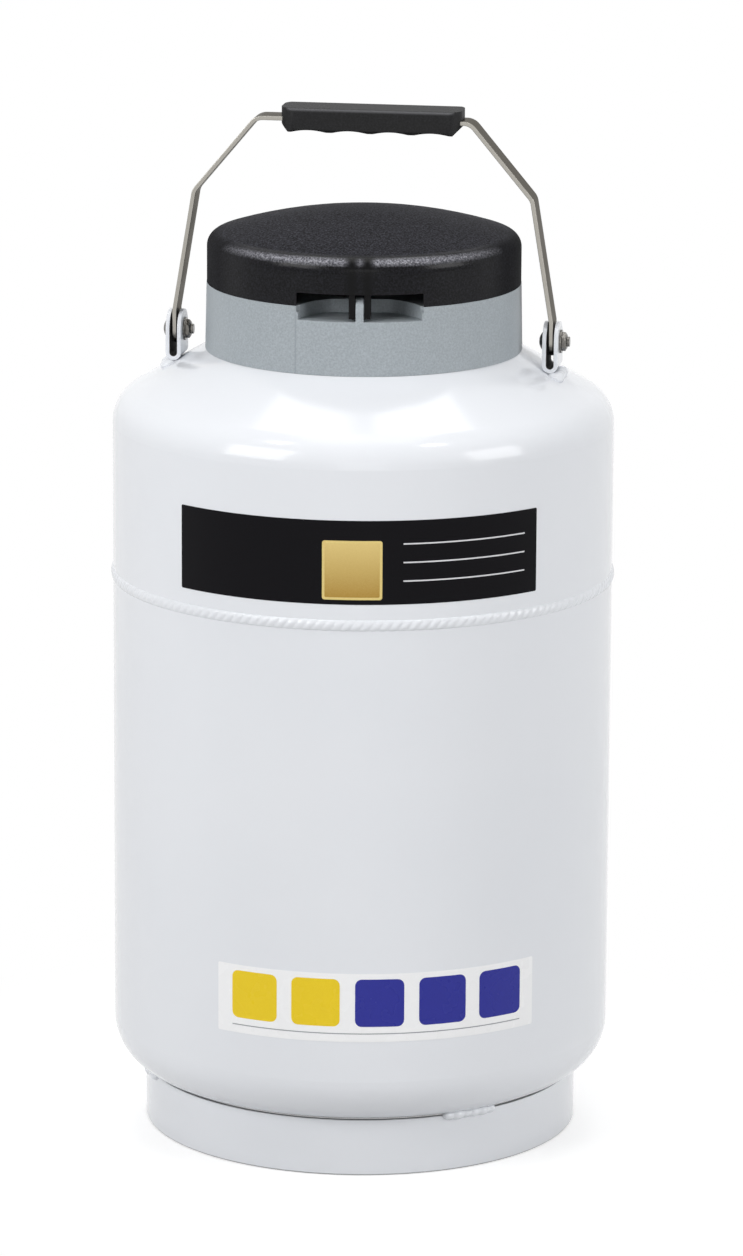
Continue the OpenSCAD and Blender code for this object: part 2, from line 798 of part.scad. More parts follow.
// Both bolts go in from the -X side
module pivot_bolts() {
    shank_l = bracket_half + bolt_end;
    dome_r = (bolt_head_d * bolt_head_d / 4 + bolt_head_h * bolt_head_h) / (2 * bolt_head_h);
    color("silver") at_pivots(-bracket_half) {
        translate([0, 0, -bolt_head_h / 2]) cylinder(r = bolt_r, h = shank_l + bolt_head_h / 2);
        difference() {
            intersection() {
                translate([0, 0, dome_r - bolt_head_h]) sphere(r = dome_r);
                translate([0, 0, -bolt_head_h - over])
                    cylinder(d = bolt_head_d + over, h = bolt_head_h + over);
            }
            translate([0, 0, -bolt_head_h - over])
                cylinder(d = bolt_socket_d, h = bolt_head_h / 2 + over, $fn = 6);
        }
    }
}

module pivot_washers() {
    color("silver") at_pivots(bracket_half) difference() {
        cylinder(d = washer_d, h = washer_t);
        translate([0, 0, -over]) cylinder(r = bolt_r + snug, h = washer_t + 2 * over);
    }
}

module pivot_nuts() {
    color("silver") at_pivots(bracket_half + washer_t) difference() {
        intersection() {
            cylinder(d = nut_af / cos(30), h = nut_h, $fn = 6);
            translate([0, 0, -over]) cylinder(d1 = 2 * nut_af, d2 = nut_crown_d, h = nut_h + over);
        }
        translate([0, 0, -over]) cylinder(r = bolt_r + pin_play, h = nut_h + 2 * over);
    }
}

// Centre of the bend at a corner, where the bar turns left from one direction to another
function bend_centre(corner, from_dir, to_dir) =
    corner - from_dir * bend_mid_r * tan(acos(from_dir * to_dir) / 2)
    + bend_mid_r * [-from_dir.y, from_dir.x];

// Space inside the bail, filled out to the bar's middle line plus grow. drop lengthens the feet.
module bail_region(grow, drop) {
    bends = [0:len(bail_corners) - 1];
    centres = [for (i = bends) bend_centre(bail_corners[i], bail_dirs[i], bail_dirs[i + 1])];
    r = bend_mid_r + grow;
    foot = [pivot_x + grow - tuck, pivot_z - bar_w - drop];
    bent = [
        for (i = bends, dir = [bail_dirs[i], bail_dirs[i + 1]])
            centres[i] + [dir.y, -dir.x] * (r - tuck)
    ];
    right = concat([foot], bent);
    left = [for (i = [len(right) - 1:-1:0]) [-right[i].x, right[i].y]];
    polygon(concat(right, left));
    for (side = [-1, 1], centre = centres) translate([side * centre.x, centre.y]) circle(r = r);
}

module handle_bar() {
    through = 6 * bar_t;
    color("silver") difference() {
        rotate([90, 0, 0]) linear_extrude(bar_w, center = true) difference() {
            bail_region(bar_t / 2, 0);
            bail_region(-bar_t / 2, over);
        }
        for (side = [-1, 1]) translate([side * pivot_x, 0, pivot_z]) rotate([0, 90, 0]) {
            cylinder(r = bolt_r + pin_play, h = through, center = true);
            difference() {
                translate([0, -bar_w, -through / 2]) cube([2 * bar_w, 2 * bar_w, through]);
                cylinder(d = bar_w, h = through + 2 * over, center = true);
            }
        }
    }
}

// Outline with rounded corners, centred
module rounded_outline(w, h, r) {
    square([w, h - 2 * r], center = true);
    square([w - 2 * r, h], center = true);
    for (x = [-1, 1], y = [-1, 1]) translate([x * (w / 2 - r), y * (h / 2 - r)]) circle(r = r);
}

// Moulded grip: side view with finger scallops, crossed with its section and its plan
module handle_grip() {
    half_l = grip_l / 2;
    half_h = grip_h / 2;
    color("black") translate([grip_shift, 0, grip_mid_z]) difference() {
        intersection() {
            rotate([90, 0, 0]) linear_extrude(grip_w + over, center = true) difference() {
                polygon([
                    [-half_l, half_h], [-half_l, grip_chamfer - half_h], [grip_chamfer - half_l, -half_h],
                    [half_l - grip_chamfer, -half_h], [half_l, grip_chamfer - half_h], [half_l, half_h]
                ]);
                for (i = [0:scallops - 1]) {
                    scallop_x = (i - (scallops - 1) / 2) * scallop_pitch;
                    translate([scallop_x, scallop_depth - half_h - scallop_r]) circle(r = scallop_r);
                }
            }
            rotate([90, 0, 90]) linear_extrude(grip_l + over, center = true)
                rounded_outline(grip_w, grip_h + 2 * tuck, grip_edge_r);
            linear_extrude(grip_h + over, center = true)
                rounded_outline(grip_l, grip_w - 2 * tuck, grip_end_r);
        }
        translate([0, 0, -grip_lift])
            cube([grip_l + 2 * over, bar_w + 2 * seat, bar_t + 2 * seat], center = true);
    }
}

outer_shell_upper();
outer_shell_lower();
girth_weld();
base_ring();
base_ring_welds();
vacuum_port();
vacuum_plug();
vacuum_plug_seal();
vacuum_port_cap();
inner_vessel_upper();
inner_vessel_lower();
inner_vessel_weld();
insulation_wrap();
adsorbent_cup();
neck_tube();
neck_flange();
neck_ring();
neck_ring_screws();
lid_cover();
plug_disc();
plug_screws();
neck_plug();
handle_bracket_left();
handle_bracket_right();
bracket_welds();
pivot_bolts();
pivot_washers();
pivot_nuts();
handle_bar();
handle_grip();
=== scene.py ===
# %% [markdown]
# # Dressing a liquid nitrogen dewar
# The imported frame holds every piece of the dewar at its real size: a white aluminium vessel, a grey
# neck ring, a black lid and a steel bail. This lesson gives each piece its finish, remodels the
# pieces whose edges and beads catch the light, and sticks on two plain vinyl labels.
# All lengths are in metres, because that is what the frame uses, so sizes in millimetres are
# multiplied by MM where they enter.

# %% Load the frame
import json
import math

import bmesh
import bpy
from mathutils import Matrix, Vector

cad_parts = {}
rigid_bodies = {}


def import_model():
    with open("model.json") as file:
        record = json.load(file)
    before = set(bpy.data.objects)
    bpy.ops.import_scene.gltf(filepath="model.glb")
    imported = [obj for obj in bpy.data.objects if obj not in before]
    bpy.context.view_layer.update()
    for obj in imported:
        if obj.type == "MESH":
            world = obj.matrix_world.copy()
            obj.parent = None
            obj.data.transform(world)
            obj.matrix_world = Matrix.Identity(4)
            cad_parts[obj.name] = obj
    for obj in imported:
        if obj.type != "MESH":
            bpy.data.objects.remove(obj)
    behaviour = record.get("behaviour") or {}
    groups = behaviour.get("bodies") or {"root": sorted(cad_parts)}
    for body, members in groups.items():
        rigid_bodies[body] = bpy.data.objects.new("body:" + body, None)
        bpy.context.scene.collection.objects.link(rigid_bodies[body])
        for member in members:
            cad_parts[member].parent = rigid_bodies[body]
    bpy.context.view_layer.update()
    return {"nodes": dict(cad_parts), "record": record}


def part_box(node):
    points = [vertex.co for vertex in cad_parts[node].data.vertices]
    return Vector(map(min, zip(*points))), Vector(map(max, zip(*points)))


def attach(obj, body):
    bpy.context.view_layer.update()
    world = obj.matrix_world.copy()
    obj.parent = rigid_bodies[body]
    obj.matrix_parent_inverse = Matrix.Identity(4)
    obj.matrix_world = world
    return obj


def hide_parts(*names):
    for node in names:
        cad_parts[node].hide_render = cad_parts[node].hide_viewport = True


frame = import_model()
nodes = frame["nodes"]
MM = 0.001

# %% [markdown]
# ## Sizes that the looks depend on
# A piece that is modelled here has to sit on the one that carries it. Its radius and height are read
# from the frame's boxes, so nothing has to be fitted by eye afterwards. The hasp's turn about the axis
# is read from the padlock hole in the record.

# %% Read the main sizes from the frame
body_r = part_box("outer_shell_lower")[1].x
girth_low, girth_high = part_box("girth_weld")
girth_z = (girth_low.z + girth_high.z) / 2
base_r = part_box("base_ring")[1].x
base_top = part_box("base_ring")[1].z
bracket_low, bracket_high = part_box("handle_bracket_right")
bracket_x = (bracket_low.x + bracket_high.x) / 2
bracket_bend = bracket_low.z + (bracket_high.x - bracket_low.x) / 2
lid_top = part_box("lid_cover")[1].z
lid_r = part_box("lid_cover")[1].x
hasp_x, hasp_y, _ = next(m["pos_m"] for m in frame["record"]["mounts"] if m["name"] == "padlock_hole")
hasp_turn = math.atan2(hasp_x, -hasp_y)
print("body radius", round(body_r / MM, 2), "girth weld at", round(girth_z / MM, 2))
print("hasp turned by", round(math.degrees(hasp_turn), 2), "degrees")

# %% [markdown]
# ## Camera
# The photograph was taken with a long lens from a little above and a little to the right. The
# distance, height and tilt come from how the round edges flatten into ellipses from the rim down
# to the base, and the turn from how far the two handle pivots sit apart in height.

# %% Place the camera
PHOTO_LONG_SIDE_PX = 1256
FOCAL_LENGTH_PX = 6232
SENSOR_MM = 36
CLIP_END = 100
CAMERA_TURN = math.radians(9)
CAMERA_TILT = math.radians(13.354)
CAMERA_ROLL = math.radians(0.307)
CAMERA_STAND_MM = Vector((5.5, -3658.4, 1171.7))

camera_data = bpy.data.cameras.new("photo_camera")
camera_data.sensor_width = SENSOR_MM
camera_data.lens = FOCAL_LENGTH_PX / PHOTO_LONG_SIDE_PX * SENSOR_MM
camera_data.clip_end = CLIP_END
camera = bpy.data.objects.new("photo_camera", camera_data)
scene = bpy.context.scene
scene.collection.objects.link(camera)
turned = Matrix.Rotation(CAMERA_TURN, 4, "Z")
looking = Matrix.Rotation(math.pi / 2 - CAMERA_TILT, 4, "X") @ Matrix.Rotation(CAMERA_ROLL, 4, "Z")
camera.matrix_world = Matrix.Translation(turned @ CAMERA_STAND_MM * MM) @ turned @ looking
scene.camera = camera
print("lens in mm:", round(camera_data.lens, 1))

# %% [markdown]
# ## Helpers for materials
# Colours are written as sRGB hex, the way a picture shows them, and Blender's sockets want linear
# light, so one function converts them. A second adds a node, sets its properties, and fills its
# inputs with values, colours or links from other nodes. Blender starts the name of every such node
# with ShaderNode, so the helper does too. A node such as Mix has a set of sockets for every kind of
# data and switches on only those of its present kind, so a socket is looked up among the ones in use.

# %% Colour and node helpers
def linear(hex_colour):
    """The linear RGBA of an sRGB hex colour such as #a0b0c0."""
    channels = [int(hex_colour[i:i + 2], 16) / 255 for i in (1, 3, 5)]
    return tuple(c / 12.92 if c <= 0.04045 else ((c + 0.055) / 1.055) ** 2.4 for c in channels) + (1,)


def in_use(sockets, name=None):
    """The first socket that a node uses in its present mode, or the first one of that name."""
    return next(socket for socket in sockets if socket.enabled and name in (None, socket.name))


def add(tree, kind, inputs=None, **settings):
    """Adds a node, sets its properties, and fills its inputs with values, colours or links."""
    node = tree.nodes.new("ShaderNode" + kind)
    for name, value in settings.items():
        setattr(node, name, value)
    for key, value in (inputs or {}).items():
        socket = node.inputs[key] if isinstance(key, int) else in_use(node.inputs, key)
        if isinstance(value, bpy.types.Node):
            value = in_use(value.outputs)
        if isinstance(value, bpy.types.NodeSocket):
            tree.links.new(value, socket)
        else:
            socket.default_value = linear(value) if isinstance(value, str) else value
    return node


print("mid grey in linear light:", round(linear("#808080")[0], 3))

# %% [markdown]
# Every finish starts with an empty node tree and the place of a point on the object, and ends with the
# surface shader. A texture's scale is how often its pattern repeats in a metre, so each scale is worked
# out from the pattern's real size in millimetres.

# %% Start and end of a finish
def start_finish(name):
    """A new material, its node tree and the place of a point on the object."""
    material = bpy.data.materials.new(name)
    material.use_nodes = True
    material.node_tree.nodes.clear()
    place = add(material.node_tree, "TexCoord").outputs["Object"]
    return material, material.node_tree, place


def end_finish(tree, inputs):
    """Adds the surface shader with these inputs and connects it to the output."""
    shader = add(tree, "BsdfPrincipled", inputs)
    add(tree, "OutputMaterial", {"Surface": shader})


def per_metre(millimetres):
    """How many times a pattern of that size repeats in a metre."""
    return 1 / (millimetres * MM)


print("a pattern of 2 mm has the scale", per_metre(2))

# %% [markdown]
# ## Backdrop, floor and light
# The studio is white all round. The world is plain white to the camera, to reflections and to
# anything seen through glass, and dimmer as a light, so that the lamps shape the form.

# %% Make the world
WORLD_LIGHT = 0.24


def shown_ray(tree):
    """1 for a ray from the camera, a reflection or glass, and 0 for one that only gathers light."""
    ray = add(tree, "LightPath").outputs
    seen = add(tree, "Math", {0: ray["Is Camera Ray"], 1: ray["Is Glossy Ray"]}, operation="MAXIMUM")
    return add(tree, "Math", {0: seen, 1: ray["Is Transmission Ray"]}, operation="MAXIMUM")


scene.view_settings.view_transform = "Standard"
scene.world = scene.world or bpy.data.worlds.new("white_studio")
scene.world.use_nodes = True
sky = scene.world.node_tree
sky.nodes.clear()
strength = add(sky, "MapRange", {"Value": shown_ray(sky), "To Min": WORLD_LIGHT, "To Max": 1.0})
backdrop = add(sky, "Background", {"Color": "#ffffff", "Strength": strength})
add(sky, "OutputWorld", {"Surface": backdrop})
print("the world shows as white and lights at", WORLD_LIGHT)

# %% [markdown]
# The floor is a pale sheet that keeps the shadow. A grey floor would show its edge, so to the same rays
# it also glows a little, and it fades to the white of the backdrop away from the vessel.

# %% Lay the floor
FLOOR_SIZE = 9
FLOOR_DROP = 0.2 * MM
FLOOR_GLOW = 0.55
FADE_START = 0.14
FADE_END = 0.36

bpy.ops.object.select_all(action="DESELECT")
bpy.ops.mesh.primitive_plane_add(size=FLOOR_SIZE, location=(0, 0, -FLOOR_DROP))
floor = bpy.context.active_object
floor.name = "studio_floor"
floor_paper, paper, spot_on_floor = start_finish("floor_paper")
looked_at = shown_ray(paper)
lift = add(paper, "Math", {0: looked_at, 1: FLOOR_GLOW}, operation="MULTIPLY")
glow = add(paper, "Emission", {"Strength": lift})
matt_sheet = add(paper, "BsdfDiffuse", {"Color": "#c6c6c6"})
close_by = add(paper, "AddShader", {0: glow, 1: matt_sheet})
from_middle = add(paper, "VectorMath", {0: spot_on_floor}, operation="LENGTH")
fade = add(paper, "MapRange", {"Value": from_middle, "From Min": FADE_START, "From Max": FADE_END},
           interpolation_type="SMOOTHSTEP")
faded = add(paper, "Math", {0: looked_at, 1: fade}, operation="MULTIPLY")
far_off = add(paper, "Emission", {"Strength": 1.0})
sheet = add(paper, "MixShader", {0: faded, 1: close_by, 2: far_off})
add(paper, "OutputMaterial", {"Surface": sheet})
floor.data.materials.append(floor_paper)
print("the floor turns white from", FADE_START, "to", FADE_END, "m")

# %% [markdown]
# The gloss on the shoulder shows where the lamps stood: two softboxes in front, well to the left and
# right of the camera, a small spot above each of them, and two panels high at the back. One more hangs
# overhead and a weak one fills from the front. The photograph doesn't show the back, and a fill lights it
# that stays out of all reflections. A lamp is placed by its turn from the camera, its rise above the
# horizon and its distance, and then aimed at the body.

# %% Place the lamps
LAMP_TARGET = Vector((0, 0, 0.33))
# Each row has a name, the turn and rise in degrees, the distance and size in metres, and the watts.
LAMPS = (
    ("softbox_left", -50, 26, 2.4, (1.2, 1.2), 27),
    ("softbox_right", 62, 18, 2.4, (1.1, 1.1), 20.5),
    ("panel_left", -150, 68, 2.4, (0.6, 0.6), 4),
    ("panel_right", 150, 68, 2.4, (0.6, 0.6), 5),
    ("spot_left", -56, 58, 2.4, (0.26, 0.26), 5),
    ("spot_right", 46, 58, 2.4, (0.26, 0.26), 4),
    ("overhead", 0, 86, 2.2, (1.2, 1.2), 8),
    ("front_fill", 0, 6, 3.0, (1.2, 1.0), 5),
    ("back_fill", 180, 18, 2.4, (1.2, 1.2), 24),
)


def softbox(name, turn, rise, distance, size, watts):
    """A rectangular lamp at a turn from the camera and a rise, aimed at the body."""
    lamp = bpy.data.lights.new(name, "AREA")
    lamp.shape = "RECTANGLE"
    lamp.size, lamp.size_y = size
    lamp.energy = watts
    holder = bpy.data.objects.new(name, lamp)
    scene.collection.objects.link(holder)
    level = Matrix.Rotation(CAMERA_TURN + math.radians(turn), 3, "Z") @ Vector((0, -1, 0))
    outward = level * math.cos(math.radians(rise)) + Vector((0, 0, math.sin(math.radians(rise))))
    holder.location = LAMP_TARGET + outward * distance
    holder.rotation_euler = (-outward).to_track_quat("-Z", "Y").to_euler()


for lamp_row in LAMPS:
    softbox(*lamp_row)
bpy.data.objects["back_fill"].visible_glossy = False
print("lamps:", len(LAMPS))

# %% [markdown]
# ## Powder coat
# The vessel, base ring and brackets are aluminium under a baked polyester powder. The powder melts
# into a gloss film, but never quite flat: a shallow orange peel a few millimetres wide breaks up
# Object coordinates keep the peel the same size on every piece, with no UV map to unwrap. Painted shade
# darkens and dulls the coat in its gaps: along the gap above the base ring, along the ring's foot, and
# inside the U of each bracket.

# %% White powder coat
COAT_SHINE = 0.35
COAT_GLOSS = 0.1
COAT_DULL = 0.16
PEEL_MM = 2.2
PEEL_DEPTH_MM = 0.05
PEEL_STRENGTH = 0.3
TONE_DRIFT_MM = 120
PAINTED_SHADE_ROUGHNESS = 0.8


def powder_coat(tree, place, distance, painted_shade_mm):
    # A gloss white film: soft wide highlights with a fine ripple, and painted shade, dark and dull, in its
    # gaps.
    peel = add(tree, "TexNoise", {"Vector": place, "Scale": per_metre(PEEL_MM), "Detail": 1.0})
    drift = add(tree, "TexNoise", {"Vector": place, "Scale": per_metre(TONE_DRIFT_MM)})
    clean = add(tree, "Mix", {"Factor": drift, "A": "#e6e9ee", "B": "#edeff3"}, data_type="RGBA")
    # The dark grey mixed in by this mask is painted shade, in the coat's gaps and along the ring's foot.
    painted_shade = add(tree, "MapRange", {"Value": distance, "From Min": painted_shade_mm[0] * MM,
                                   "From Max": painted_shade_mm[1] * MM, "To Min": 1.0, "To Max": 0.0})
    tone = add(tree, "Mix", {"Factor": painted_shade, "A": clean, "B": "#3c3b3a"}, data_type="RGBA")
    gloss = add(tree, "MapRange", {"Value": peel, "To Min": COAT_GLOSS, "To Max": COAT_DULL})
    dull = add(tree, "Mix", {"Factor": painted_shade, "A": gloss, "B": PAINTED_SHADE_ROUGHNESS})
    ripple = add(tree, "Bump", {"Height": peel, "Strength": PEEL_STRENGTH, "Distance": PEEL_DEPTH_MM * MM})
    end_finish(tree, {"Base Color": tone, "Roughness": dull, "Normal": ripple,
                      "Specular IOR Level": COAT_SHINE})


print("the orange peel repeats", round(per_metre(PEEL_MM)), "times in a metre")

# %% [markdown]
# A brush could paint this shade onto the mesh, but it would be lost whenever the mesh is made again. So
# the painted shade is laid on by distance: from a height on the shell and the base ring, and from the
# inside of the U on a bracket. Each pair of values says how far it is full, and where it ends.

# %% Coats with painted shade in their gaps
# Painted shade along the ring's foot, along the gap above the base ring, and inside each bracket's U.
FOOT_SHADE_MM = (0, 1.0)
GAP_SHADE_MM = (1.5, 2.5)
BRACKET_SHADE_MM = (2.25, 2.4)


def coat_with_line(name, level, painted_shade_mm):
    """The coat of a piece with a line of painted shade at a height."""
    material, tree, place = start_finish(name)
    height = add(tree, "SeparateXYZ", {0: place}).outputs["Z"]
    off = add(tree, "Math", {0: height, 1: level}, operation="SUBTRACT")
    away = add(tree, "Math", {0: off}, operation="ABSOLUTE")
    powder_coat(tree, place, away, painted_shade_mm)
    return material


def coat_of_brackets(painted_shade_mm):
    """The coat of the brackets with painted shade inside the U: beside its middle plane and round its
    bend.
    """
    material, tree, place = start_finish("white_powder_coat_brackets")
    spot = add(tree, "SeparateXYZ", {0: place}).outputs
    out = add(tree, "Math", {0: spot["X"]}, operation="ABSOLUTE")
    beside = add(tree, "Math", {0: out, 1: bracket_x}, operation="SUBTRACT")
    rise = add(tree, "Math", {0: spot["Z"], 1: bracket_bend}, operation="SUBTRACT")
    under = add(tree, "Math", {0: rise, 1: 0.0}, operation="MINIMUM")
    away = add(tree, "CombineXYZ", {"X": beside, "Z": under})
    length = add(tree, "VectorMath", {0: away}, operation="LENGTH")
    powder_coat(tree, place, length, painted_shade_mm)
    return material


coat = coat_with_line("white_powder_coat", 0, FOOT_SHADE_MM)
shell_coat = coat_with_line("white_powder_coat_shell", base_top, GAP_SHADE_MM)
bracket_coat = coat_of_brackets(BRACKET_SHADE_MM)
print("made", coat.name, shell_coat.name, bracket_coat.name)

# %% [markdown]
# ## Moulded plastics
# The neck ring, the lid and the grip come from moulds whose steel was spark eroded, which leaves a
# fine even pitting. Under a soft light that pitting reads as bright and dark grains. The real pits are
# a few tenths of a millimetre wide, so here they are drawn at about three times that, or they would
# vanish. In the ring, the melt parted round the hasp's window and met again below its left end, where
# it left a faint darker knit line.

# %% Grey plastic of the ring
GRAIN_MM = 1.1
GRAIN_DEPTH_MM = 0.12
NOISE_ROUGHNESS = 0.65
PIT_BELOW = 0.38
PEAK_ABOVE = 0.72
CLOUD_MM = 35
CLOUD_SHARE = 0.2
KNIT_X_MM = -37.5
KNIT_HALF_MM = 0.9
KNIT_SHARE = 0.6
RING_GLOSS = 0.42
RING_DULL = 0.6
RING_BUMP = 0.25
RING_SHINE = 0.35


def spark_grain(tree, place):
    """The pitting that a spark-eroded mould leaves: its height, and its bright and dark specks."""
    grain = add(tree, "TexNoise", {"Vector": place, "Scale": per_metre(GRAIN_MM), "Detail": 2.0,
                                   "Roughness": NOISE_ROUGHNESS})
    speck = add(tree, "MapRange", {"Value": grain, "From Min": PIT_BELOW, "From Max": PEAK_ABOVE})
    return grain, speck


def facing_hasp(tree, place):
    """The place of a point with X across the hasp and Y towards the back, whatever the hasp's turn."""
    faced = add(tree, "Mapping", {"Vector": place, "Rotation": (0, 0, -hasp_turn)})
    return add(tree, "SeparateXYZ", {0: faced}).outputs


def ring_plastic():
    # Grey moulded ABS with a spark texture: matt from afar, with a fine grain that glints at the edges.
    material, tree, place = start_finish("grey_spark_plastic")
    grain, speck = spark_grain(tree, place)
    cloud = add(tree, "TexNoise", {"Vector": place, "Scale": per_metre(CLOUD_MM)})
    blend = add(tree, "Mix", {"Factor": CLOUD_SHARE, "A": speck, "B": cloud})
    plain = add(tree, "Mix", {"Factor": blend, "A": "#989fa4", "B": "#afb7bc"}, data_type="RGBA")
    faced = facing_hasp(tree, place)
    off = add(tree, "Math", {0: faced["X"], 1: KNIT_X_MM * MM}, operation="SUBTRACT")
    from_line = add(tree, "Math", {0: off}, operation="ABSOLUTE")
    line = add(tree, "MapRange", {"Value": from_line, "From Max": KNIT_HALF_MM * MM,
                                  "To Min": KNIT_SHARE, "To Max": 0.0})
    front = add(tree, "Math", {0: faced["Y"], 1: 0.0}, operation="LESS_THAN")
    knit = add(tree, "Math", {0: line, 1: front}, operation="MULTIPLY")
    tone = add(tree, "Mix", {"Factor": knit, "A": plain, "B": "#899095"}, data_type="RGBA")
    gloss = add(tree, "MapRange", {"Value": speck, "To Min": RING_GLOSS, "To Max": RING_DULL})
    pits = add(tree, "Bump", {"Height": grain, "Strength": RING_BUMP, "Distance": GRAIN_DEPTH_MM * MM})
    end_finish(tree, {"Base Color": tone, "Roughness": gloss, "Normal": pits,
                      "Specular IOR Level": RING_SHINE})
    return material


grey_ring = ring_plastic()
print("made", grey_ring.name, "with", len(grey_ring.node_tree.nodes), "nodes")

# %% [markdown]
# The lid is the same plastic in black, but hands have been on it. Its side is still matt, its crown is
# paler from a painted sheen, and the round edge between them is rubbed to a soft gloss in front, where it
# is held, with a painted highlight along it as a pale line. Behind the side stand the two ears of the
# hasp. Where such a rib meets a wall the plastic shrinks as it cools, and leaves a shallow sink mark
# outside that is smoother; its darker colour is painted shade.
# Painting them on a UV map would need a picture file, so each zone is a number from 0 to 1 that is worked
# out from the place of a point: its distance from the axis, its height, and where it lies from the hasp.

# %% Zones of the lid
RUBBED_FROM_MM = 85
RUBBED_TO_MM = 90
HELD_FROM_MM = 80
HELD_TO_MM = 40
HIGHLIGHT_BELOW_TOP_MM = (19.0, 16.6)
HIGHLIGHT_FROM_SIDE_MM = (4.8, 2.4)
SINK_OUT_MM = 4.5
SINK_HALF_MM = 6.0


def crown_of_lid(tree, reach):
    """1 on the crown and 0 outside it, by the distance from the axis."""
    return add(tree, "MapRange", {"Value": reach, "From Min": RUBBED_FROM_MM * MM,
                                  "From Max": RUBBED_TO_MM * MM, "To Min": 1.0, "To Max": 0.0})


def held_front(tree, faced):
    """1 on the front of the lid, where hands hold it, and 0 towards the back."""
    return add(tree, "MapRange", {"Value": faced["Y"], "From Min": -HELD_FROM_MM * MM,
                                  "From Max": -HELD_TO_MM * MM, "To Min": 1.0, "To Max": 0.0})


def plain_skin(tree, faced, crown):
    """0 on the two sink marks in front of the ears, and 1 elsewhere."""
    beside = add(tree, "Math", {0: faced["X"]}, operation="ABSOLUTE")
    off = add(tree, "Math", {0: beside, 1: SINK_OUT_MM * MM}, operation="SUBTRACT")
    from_mark = add(tree, "Math", {0: off}, operation="ABSOLUTE")
    flat = add(tree, "MapRange", {"Value": from_mark, "From Max": SINK_HALF_MM * MM},
               interpolation_type="SMOOTHSTEP")
    behind = add(tree, "Math", {0: faced["Y"], 1: 0.0}, operation="GREATER_THAN")
    kept = add(tree, "Math", {0: behind, 1: crown}, operation="MAXIMUM")
    return add(tree, "Math", {0: flat, 1: kept}, operation="MAXIMUM")


def painted_highlight_line(tree, height, reach, held):
    """1 on the painted highlight line along the edge in front, and 0 elsewhere."""
    above = add(tree, "MapRange", {"Value": height, "From Min": lid_top - HIGHLIGHT_BELOW_TOP_MM[0] * MM,
                                   "From Max": lid_top - HIGHLIGHT_BELOW_TOP_MM[1] * MM})
    outside = add(tree, "MapRange", {"Value": reach, "From Min": lid_r - HIGHLIGHT_FROM_SIDE_MM[0] * MM,
                                     "From Max": lid_r - HIGHLIGHT_FROM_SIDE_MM[1] * MM})
    line = add(tree, "Math", {0: above, 1: outside}, operation="MULTIPLY")
    return add(tree, "Math", {0: line, 1: held}, operation="MULTIPLY")


print("the lid's pale line begins", round(lid_r / MM - HIGHLIGHT_FROM_SIDE_MM[0], 1), "mm from the axis")

# %% [markdown]
# The zones then set the colour and the roughness. The backdrop is white on all sides, and a shiny black
# lid would show it as grey, so the shine is set low and the matt zones are rough. The specks that the
# light would draw are drawn in the colour instead, and so are the painted sheen on the crown and the
# painted highlight along the front edge.

# %% Black plastic of the lid
RUBBED_GLOSS = 0.17
RUBBED_DULL = 0.27
MATT_CROWN = 0.85
MATT_SIDE = 0.45
EDGE_BELOW_TOP_MM = 20
SIDE_BELOW_TOP_MM = 25
SINK_DEPTH_MM = 0.05
LID_BUMP = 0.6
LID_SHINE = 0.13


def lid_roughness(tree, height, speck, crown, held):
    """Glossy on the held edge, and matt on the crown, the side and the back."""
    gloss = add(tree, "MapRange", {"Value": speck, "To Min": RUBBED_GLOSS, "To Max": RUBBED_DULL})
    side = add(tree, "MapRange", {"Value": height, "From Min": lid_top - SIDE_BELOW_TOP_MM * MM,
                                  "From Max": lid_top - EDGE_BELOW_TOP_MM * MM,
                                  "To Min": MATT_SIDE, "To Max": 0.0})
    matt = add(tree, "Math", {0: crown, 1: MATT_CROWN}, operation="MULTIPLY")
    back = add(tree, "Math", {0: held, 1: -MATT_CROWN, 2: MATT_CROWN}, operation="MULTIPLY_ADD")
    away = add(tree, "Math", {0: side, 1: back}, operation="MAXIMUM")
    dull = add(tree, "Math", {0: matt, 1: away}, operation="MAXIMUM")
    return add(tree, "Math", {0: gloss, 1: dull}, operation="MAXIMUM")


def lid_plastic():
    # Black moulded ABS: a fine matt grain, a painted sheen on the crown, and a painted highlight along the
    # front edge, which hands polished to a gloss.
    material, tree, place = start_finish("black_spark_plastic")
    grain, speck = spark_grain(tree, place)
    level = add(tree, "VectorMath", {0: place, 1: (1, 1, 0)}, operation="MULTIPLY")
    reach = add(tree, "VectorMath", {0: level}, operation="LENGTH")
    height = add(tree, "SeparateXYZ", {0: place}).outputs["Z"]
    faced = facing_hasp(tree, place)
    crown = crown_of_lid(tree, reach)
    held = held_front(tree, faced)
    skin = plain_skin(tree, faced, crown)
    # The pale line is a painted highlight. On the sink marks it stops.
    pale = add(tree, "Math", {0: painted_highlight_line(tree, height, reach, held), 1: skin}, operation="MULTIPLY")
    # The crown's paler grey is a painted sheen.
    painted_crown_sheen = add(tree, "Mix", {"Factor": crown, "A": "#1f1f24", "B": "#404047"}, data_type="RGBA")
    bright = add(tree, "Mix", {"Factor": pale, "A": painted_crown_sheen, "B": "#b2b2ba"}, data_type="RGBA")
    pit = add(tree, "Mix", {"Factor": pale, "A": "#040405", "B": "#4a4a50"}, data_type="RGBA")
    # On the sink marks the light specks stop, so the colour falls to its dark end: painted shade.
    bright_specks = add(tree, "Math", {0: speck, 1: skin}, operation="MULTIPLY")
    tone = add(tree, "Mix", {"Factor": bright_specks, "A": pit, "B": bright}, data_type="RGBA")
    sunk = add(tree, "Bump", {"Height": skin, "Distance": SINK_DEPTH_MM * MM})
    pits = add(tree, "Bump", {"Height": grain, "Strength": LID_BUMP,
                              "Distance": GRAIN_DEPTH_MM * MM, "Normal": sunk})
    end_finish(tree, {"Base Color": tone, "Roughness": lid_roughness(tree, height, speck, crown, held),
                      "Normal": pits, "Specular IOR Level": LID_SHINE})
    return material


black_lid = lid_plastic()
print("made", black_lid.name, "with", len(black_lid.node_tree.nodes), "nodes")

